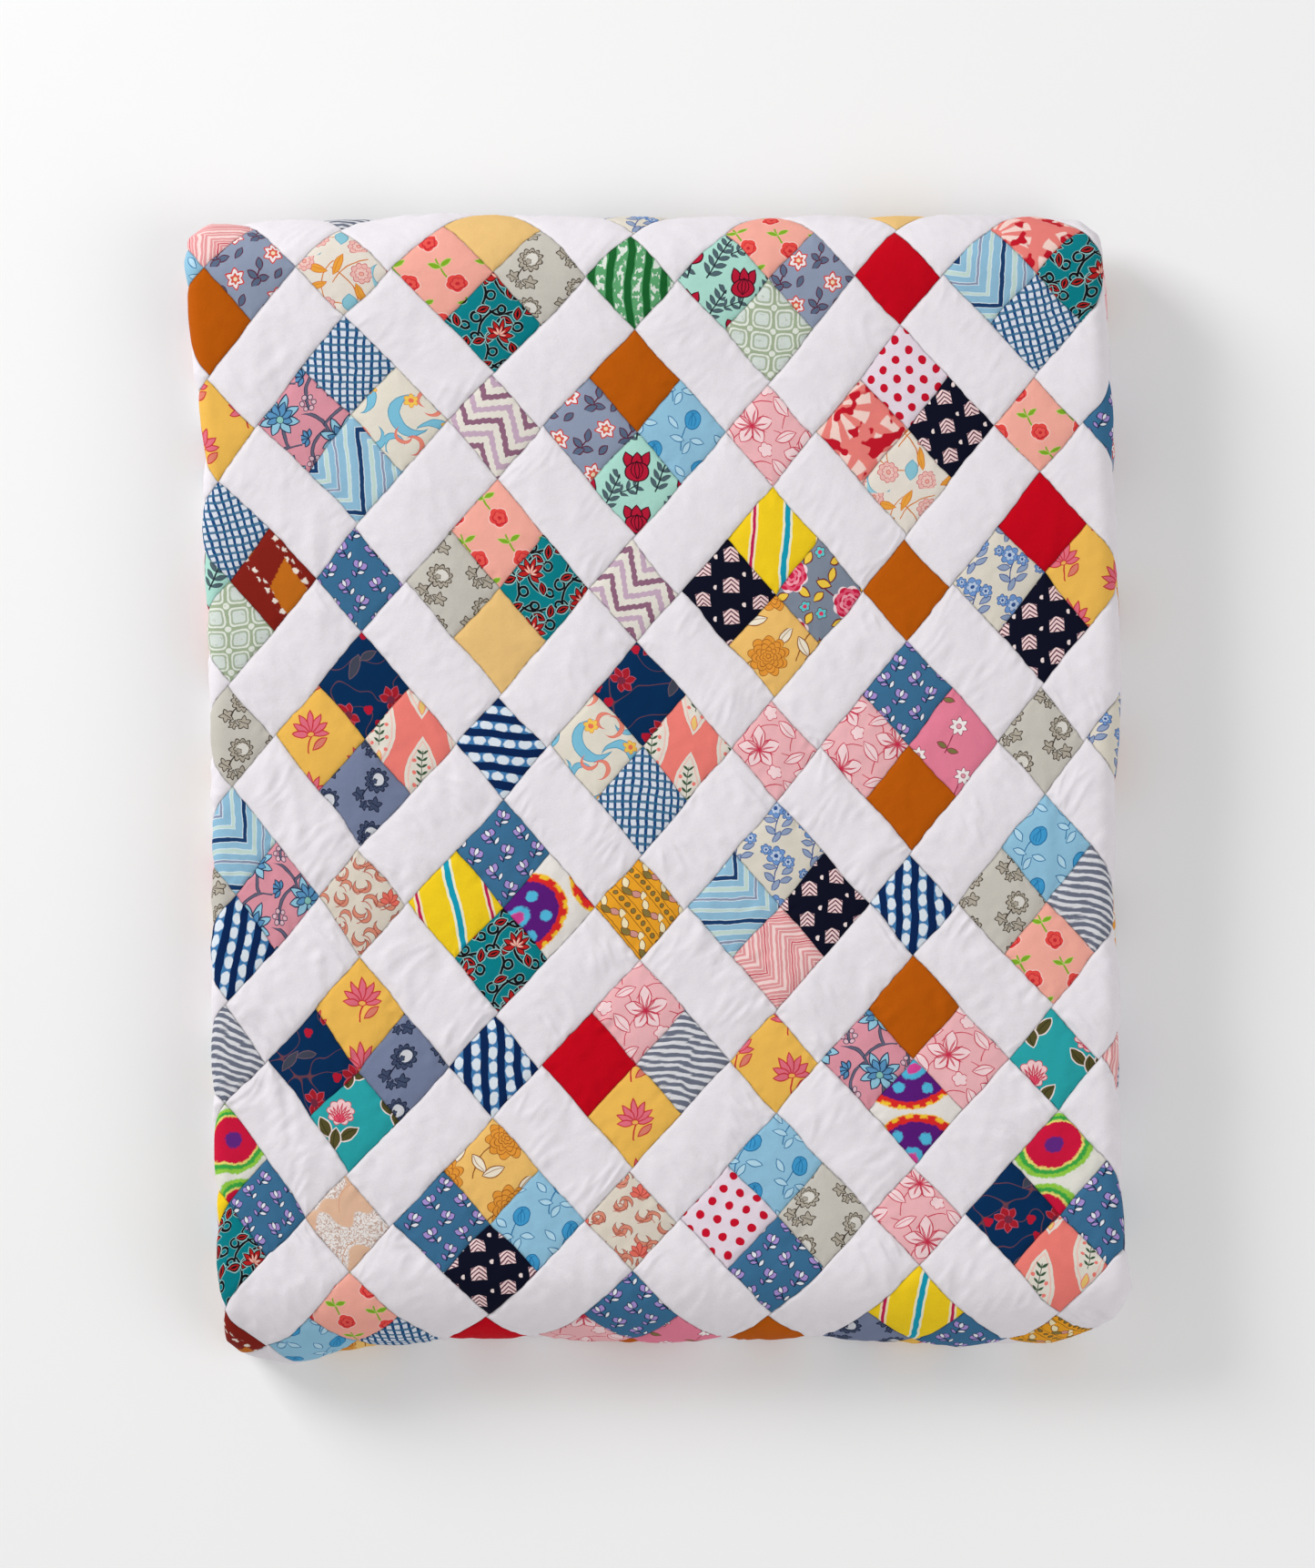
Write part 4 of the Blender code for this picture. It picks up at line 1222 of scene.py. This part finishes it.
def finished(ink):
    """Mottles the colour, paints shade into the seams and adds the weave."""
    cloud = ink.noise(17, detail=2.0)
    speck = ink.noise(1.1, detail=0.0)
    shade = cloud * 0.10 + speck * 0.08 + 0.86
    seam = ink.tree.nodes.new("ShaderNodeAttribute")
    seam.attribute_name = "seam"
    # Painted shade: the colour is darkened, with a little noise, in a thin band along each seam, for the
    # shadow in its valley.
    painted_seam_shade = ink.noise(5.0, detail=1.0) * 1.2 - 0.15
    away = ink.calc("MULTIPLY", seam.outputs["Fac"], 1 / SEAM_SHADE, clamp=True)
    shade = shade * (1 - (1 - away) * painted_seam_shade)
    ink.plug(ink.shader.inputs["Base Color"], ink.vector("SCALE", ink.colour, scale=shade))
    warp, weft = (ink.calc("SINE", way * (2 * math.pi / THREAD_MM)) for way in ink.split(ink.flat))
    bump = ink.tree.nodes.new("ShaderNodeBump")
    bump.inputs["Strength"].default_value = 0.5
    bump.inputs["Distance"].default_value = WEAVE_HEIGHT
    ink.plug(bump.inputs["Height"], warp * weft * 0.5 + ink.noise(4.0, detail=2.0) * 3.5)
    ink.plug(ink.shader.inputs["Normal"], bump.outputs[0])
    ink.shader.inputs["Roughness"].default_value = 0.88
    ink.shader.inputs["Specular IOR Level"].default_value = 0.1
    return ink.material


def cotton(name, ground, draw=None, size=1.0):
    """A finished cotton, printed or plain."""
    ink = Ink(name, ground, size)
    if draw:
        draw(ink)
    return finished(ink)


fabrics = {"print_" + name: cotton(name, *COTTONS[name]) for name in NAMES}
fabrics["sashing_rising"] = fabrics["sashing_falling"] = cotton("white_sashing", WHITE)
print("shader nodes in all:", sum(len(made.node_tree.nodes) for made in fabrics.values()))

# %% [markdown]
# ## Cutting the squares and strips
#
# Each square is one small grid, cut in the plan's own numbers, where a square measures one by
# one. Its rows lie closer together towards the seams, where the cloth bends most. Only what can be
# seen is cut: the middle panel, its two folded edges, and both ends as far as they turn under.

# %% What is cut from which cloth
DENSE, COARSE = 30, 12  # rows of faces along one square
SIDE_MARGIN, HIDDEN_MARGIN, HIDDEN_SIDE = 0.030, 0.055, 0.07
turn_ends = {name: turn["side"] * (turn["start"] + turn["arc"]) for name, turn in SIDE_TURNS.items()}
bend_ends = {name: turn["side"] * (turn["start"] + turn["arc"]) for name, turn in END_TURNS.items()}


def middle_of(first, second, wide, high):
    """Where the middle of a piece of the plan lies on the quilt, in metres."""
    first, second = first + wide / 2, second + high / 2
    return CORNER_X + (first - second) * HALF_X, CORNER_Y + (first + second) * HALF_Y


def rows_for(across, along):
    """How many rows of faces a square there gets, or none if nothing of it shows."""
    if not turn_ends["left"] - SIDE_MARGIN < across < turn_ends["right"] + SIDE_MARGIN:
        return 0
    if not END_TURNS["front"]["edge"] - PATCH_SIDE < along < END_TURNS["back"]["edge"] + PATCH_SIDE:
        return 0
    if bend_ends["front"] < along < bend_ends["back"]:
        return DENSE
    inside = abs(across) < STACK_WIDTH / 2 - HIDDEN_SIDE
    return 0 if inside and along > bend_ends["back"] + HIDDEN_MARGIN else COARSE


dice = np.random.default_rng(41)
cut = {name: [] for name in fabrics}
reach = range(-16, 17)
for i in reach:
    for j in reach:
        stone = (i - j, 2 - i - j)
        block = (i - j, 1 - i - j)
        own = BLOCKS.get(block, "").split() or list(dice.choice(NAMES, 4, replace=False))
        top, left, right, bottom = own
        loose = CORNERSTONES.get(stone) or str(dice.choice(NAMES))
        first, second = 3 * i, 3 * j
        for name, a, b, wide, high in (
            ("print_" + loose, 0, 0, CORNERSTONE, 1),
            ("print_" + bottom, 1, 1, 1, 1),
            ("print_" + left, 1, 2, 1, 1),
            ("print_" + right, 2, 1, 1, 1),
            ("print_" + top, 2, 2, 1, 1),
            ("sashing_rising", CORNERSTONE, 0, 3 - CORNERSTONE, 1),
            ("sashing_falling", 0, 1, 1, 2),
        ):
            piece = (first + a, second + b, wide, high)
            rows = rows_for(*middle_of(*piece))
            if rows:
                turn = 90 * (a == b == 0 and stone in LAID_ACROSS)
                cut[name].append({"corner": piece[:2], "size": piece[2:], "rows": rows, "turn": turn})
print("pieces cut:", sum(len(pieces) for pieces in cut.values()))

# %% Sewing one cloth's pieces into the folded quilt
THINNEST, HEM = 0.35, 0.012
TO_THE_SEAMS = 0.35
FLOOR_CLEAR = 0.0002
PRESSED, OPENS_OVER = 0.25, 0.3 * math.pi
sides = SIDE_TURNS["left"]["edge"], SIDE_TURNS["right"]["edge"]
ends = END_TURNS["front"]["edge"], END_TURNS["back"]["edge"]


def fullness(across, along):
    """The padding's share of its full thickness, which shrinks at the hem."""
    inwards = np.minimum.reduce([across - sides[0], sides[1] - across, along - ends[0], ends[1] - along])
    return THINNEST + (1 - THINNEST) * smooth_step(inwards / HEM)


def openness(across, turned):
    """1 where the face lies open to the air, and less where the stack presses on it."""
    under_end = smooth_step((math.pi - np.abs(turned)) / OPENS_OVER)
    past = np.zeros_like(across)
    for turn in SIDE_TURNS.values():
        past = np.maximum(past, (turn["side"] * across - turn["start"]) / turn["arc"])
    free = np.maximum(under_end, 0.8 * smooth_step(past / 0.25))
    return (PRESSED + (1 - PRESSED) * free) * smooth_step((1 - past) / 0.35)


def read_spots(mesh):
    """The mesh's points, as one row each for x, y and z."""
    spots = np.empty(len(mesh.vertices) * 3)
    mesh.vertices.foreach_get("co", spots)
    return spots.reshape(-1, 3).T


def as_cloth(mesh, places, clear, flat, seam_distance, material):
    """Moves a mesh's points to their places on the stack and makes it a piece of the quilt."""
    places = places - CENTRE
    places[:, 2] = np.maximum(places[:, 2], clear)
    mesh.vertices.foreach_set("co", places.ravel())
    corners = np.empty(len(mesh.loops), dtype=np.int32)
    mesh.loops.foreach_get("vertex_index", corners)
    print_map = mesh.uv_layers.new(name="print")
    on_cloth = np.stack(flat, axis=-1)[corners] * (1000 / UV_MM)
    print_map.data.foreach_set("uv", on_cloth.astype(np.float32).ravel())
    seam = mesh.attributes.new("seam", "FLOAT", "POINT")
    seam.data.foreach_set("value", seam_distance.astype(np.float32))
    mesh.shade_smooth()
    mesh.materials.append(material)
    made = bpy.data.objects.new(mesh.name, mesh)
    bpy.context.scene.collection.objects.link(made)
    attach(made, "root")
    return made


def sewn(name, pieces, material):
    """One object of all the squares or strips of a cloth, in their places on the folded stack."""
    shape = bmesh.new()
    sizes = []
    for piece in pieces:
        (first, second), (wide, high), rows = piece["corner"], piece["size"], piece["rows"]
        before = len(shape.verts)
        place = Matrix.Translation((first + wide / 2, second + high / 2, 0))
        bmesh.ops.create_grid(
            shape,
            x_segments=round(rows * wide),
            y_segments=round(rows * high),
            size=0.5,
            matrix=place @ Matrix.Diagonal((wide, high, 1, 1)),
        )
        sizes.append(len(shape.verts) - before)
    mesh = bpy.data.meshes.new(name)
    shape.to_mesh(mesh)
    shape.free()

    # Rows move towards the seams, where the cloth bends most.
    plan = []
    for way, even in enumerate(read_spots(mesh)[:2]):
        low, span = (np.repeat([piece[key][way] for piece in pieces], sizes) for key in ("corner", "size"))
        share = (even - low) / span
        plan.append(low + span * (share - TO_THE_SEAMS * np.sin(2 * math.pi * share) / (2 * math.pi)))
    first, second = plan
    plan_x = CORNER_X + (first - second) * HALF_X
    plan_y = CORNER_Y + (first + second) * HALF_Y
    across, along = on_the_quilt(plan_x, plan_y)
    across, along = np.clip(across, *sides), np.clip(along, *ends)
    _, turned = fold(across, along, 0 * across)
    rise = relief(plan_x, plan_y, float(name.startswith("sashing"))) * openness(across, turned)
    places, _ = fold(across, along, fullness(across, along) * (LAYER / 2 + rise))

    # Each square is cut from another spot of its cloth, and seldom quite straight.
    near_first, near_second, *_ = seam_distances(plan_x, plan_y)
    shifts = np.repeat(dice.uniform(-4, 4, (len(pieces), 2)), sizes, axis=0)
    laid = dice.normal(0, 5, len(pieces)) + [piece["turn"] for piece in pieces]
    turns = np.repeat(np.radians(laid), sizes)
    u = plan_x * np.cos(turns) - plan_y * np.sin(turns) + shifts[:, 0]
    v = plan_x * np.sin(turns) + plan_y * np.cos(turns) + shifts[:, 1]
    return as_cloth(mesh, places, FLOOR_CLEAR, (u, v), np.minimum(near_first, near_second), material)


cloth_pieces = [sewn(name, pieces, fabrics[name]) for name, pieces in cut.items() if pieces]
triangles = [sum(len(face.vertices) - 2 for face in made.data.polygons) for made in cloth_pieces]
print("cloths:", len(cloth_pieces), "triangles:", sum(triangles), "most in one:", max(triangles))

# %% [markdown]
# ## The padded layer behind the face
#
# Behind the patchwork are the thin filling and the plain back. They go through every fold, so they
# are one closed slab as large as the flat quilt, folded by the same functions. It has more rows
# where the cloth turns. It lies three millimetres under the squares and meets them at the hem.

# %% Folding the padded layer
UNDER_FACE = 0.003


def stops(*marks):
    """Places along one direction of the quilt: (place, how many rows up to the next mark)."""
    rows = [np.linspace(here, there, count, endpoint=False)
            for (here, count), (there, _) in zip(marks, marks[1:], strict=False)]
    return np.concatenate(rows + [[marks[-1][0]]])


across_stops = stops(
    (sides[0], 3),
    (sides[0] + HEM, 24),
    (turn_ends["left"], 10),
    (-SIDE_TURNS["left"]["start"], 36),
    (SIDE_TURNS["right"]["start"], 12),
    (turn_ends["right"], 24),
    (sides[1] - HEM, 3),
    (sides[1], 0),
)
along_stops = stops(
    (ends[0], 3),
    (ends[0] + HEM, 34),
    (bend_ends["front"], 30),
    (-END_TURNS["front"]["start"], 34),
    (END_TURNS["back"]["start"], 26),
    (bend_ends["back"], 34),
    (ends[1] - HEM, 3),
    (ends[1], 0),
)
columns, rows = len(across_stops) - 1, len(along_stops) - 1
shape = bmesh.new()
bmesh.ops.create_grid(shape, x_segments=columns, y_segments=rows, size=0.5)
bmesh.ops.solidify(shape, geom=shape.faces[:], thickness=1.0)
bmesh.ops.recalc_face_normals(shape, faces=shape.faces[:])
mesh = bpy.data.meshes.new("quilt_body")
shape.to_mesh(mesh)
shape.free()
x, y, z = read_spots(mesh)
across = np.interp((x + 0.5) * columns, np.arange(columns + 1), across_stops)
along = np.interp((y + 0.5) * rows, np.arange(rows + 1), along_stops)
full = fullness(across, along)
lowered = UNDER_FACE * (full - THINNEST) / (1 - THINNEST)
offset = np.where(z > (z.min() + z.max()) / 2, full * LAYER / 2 - lowered, -full * LAYER / 2)
places, _ = fold(across, along, offset)
no_seam = np.full(len(across), 0.01)
body = as_cloth(mesh, places, FLOOR_CLEAR / 2, (across, along), no_seam, cotton("plain_back", WHITE))
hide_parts("quilt")
print("padded layer, faces:", len(mesh.polygons))

# %% [markdown]
# ## Floor, light and camera
#
# The camera looks straight down from four metres. The floor is plain and pale, and the light is
# soft, a little stronger from the upper left, so that the seams read as shallow valleys.

# %% Floor
FLOOR_SIZE = 14.0
shape = bmesh.new()
bmesh.ops.create_grid(
    shape, x_segments=1, y_segments=1, size=FLOOR_SIZE / 2, matrix=Matrix.Translation((0, 0, -0.001))
)
mesh = bpy.data.meshes.new("floor")
shape.to_mesh(mesh)
shape.free()
paint = bpy.data.materials.new("floor_paint")
paint.use_nodes = True
shader = paint.node_tree.nodes["Principled BSDF"]
shader.inputs["Base Color"].default_value = dye(249, 249, 249)
shader.inputs["Roughness"].default_value = 0.9
mesh.materials.append(paint)
floor = bpy.data.objects.new("floor", mesh)
bpy.context.scene.collection.objects.link(floor)

# %% Light
LAMPS = (
    {"name": "key", "x": -3.5, "y": 2.6, "z": 2.5, "size": 1.9, "watts": 149},
    {"name": "fill", "x": 2.6, "y": -1.0, "z": 3.4, "size": 3.0, "watts": 38},
)
for lamp in LAMPS:
    light = bpy.data.lights.new(lamp["name"], "AREA")
    light.energy, light.size = lamp["watts"], lamp["size"]
    hung = bpy.data.objects.new(lamp["name"], light)
    place = (lamp["x"], lamp["y"], lamp["z"])
    hung.location = place
    hung.rotation_euler = (-Matrix.Translation(place).translation).to_track_quat("-Z", "Y").to_euler()
    bpy.context.scene.collection.objects.link(hung)

world = bpy.data.worlds.new("studio")
bpy.context.scene.world = world
world.use_nodes = True
sky = world.node_tree.nodes["Background"]
sky.inputs["Color"].default_value = (1.0, 1.0, 1.0, 1.0)
sky.inputs["Strength"].default_value = 0.505
bpy.context.scene.view_settings.view_transform = "Standard"

# %% Camera
CAMERA_HEIGHT = 4.0
lens = bpy.data.cameras.new("overhead")
lens.lens, lens.sensor_width = 112.9, 36.0
camera = bpy.data.objects.new("overhead", lens)
camera.location = (0.0004, 0.0048, TOP + CAMERA_HEIGHT)
bpy.context.scene.collection.objects.link(camera)
bpy.context.scene.camera = camera
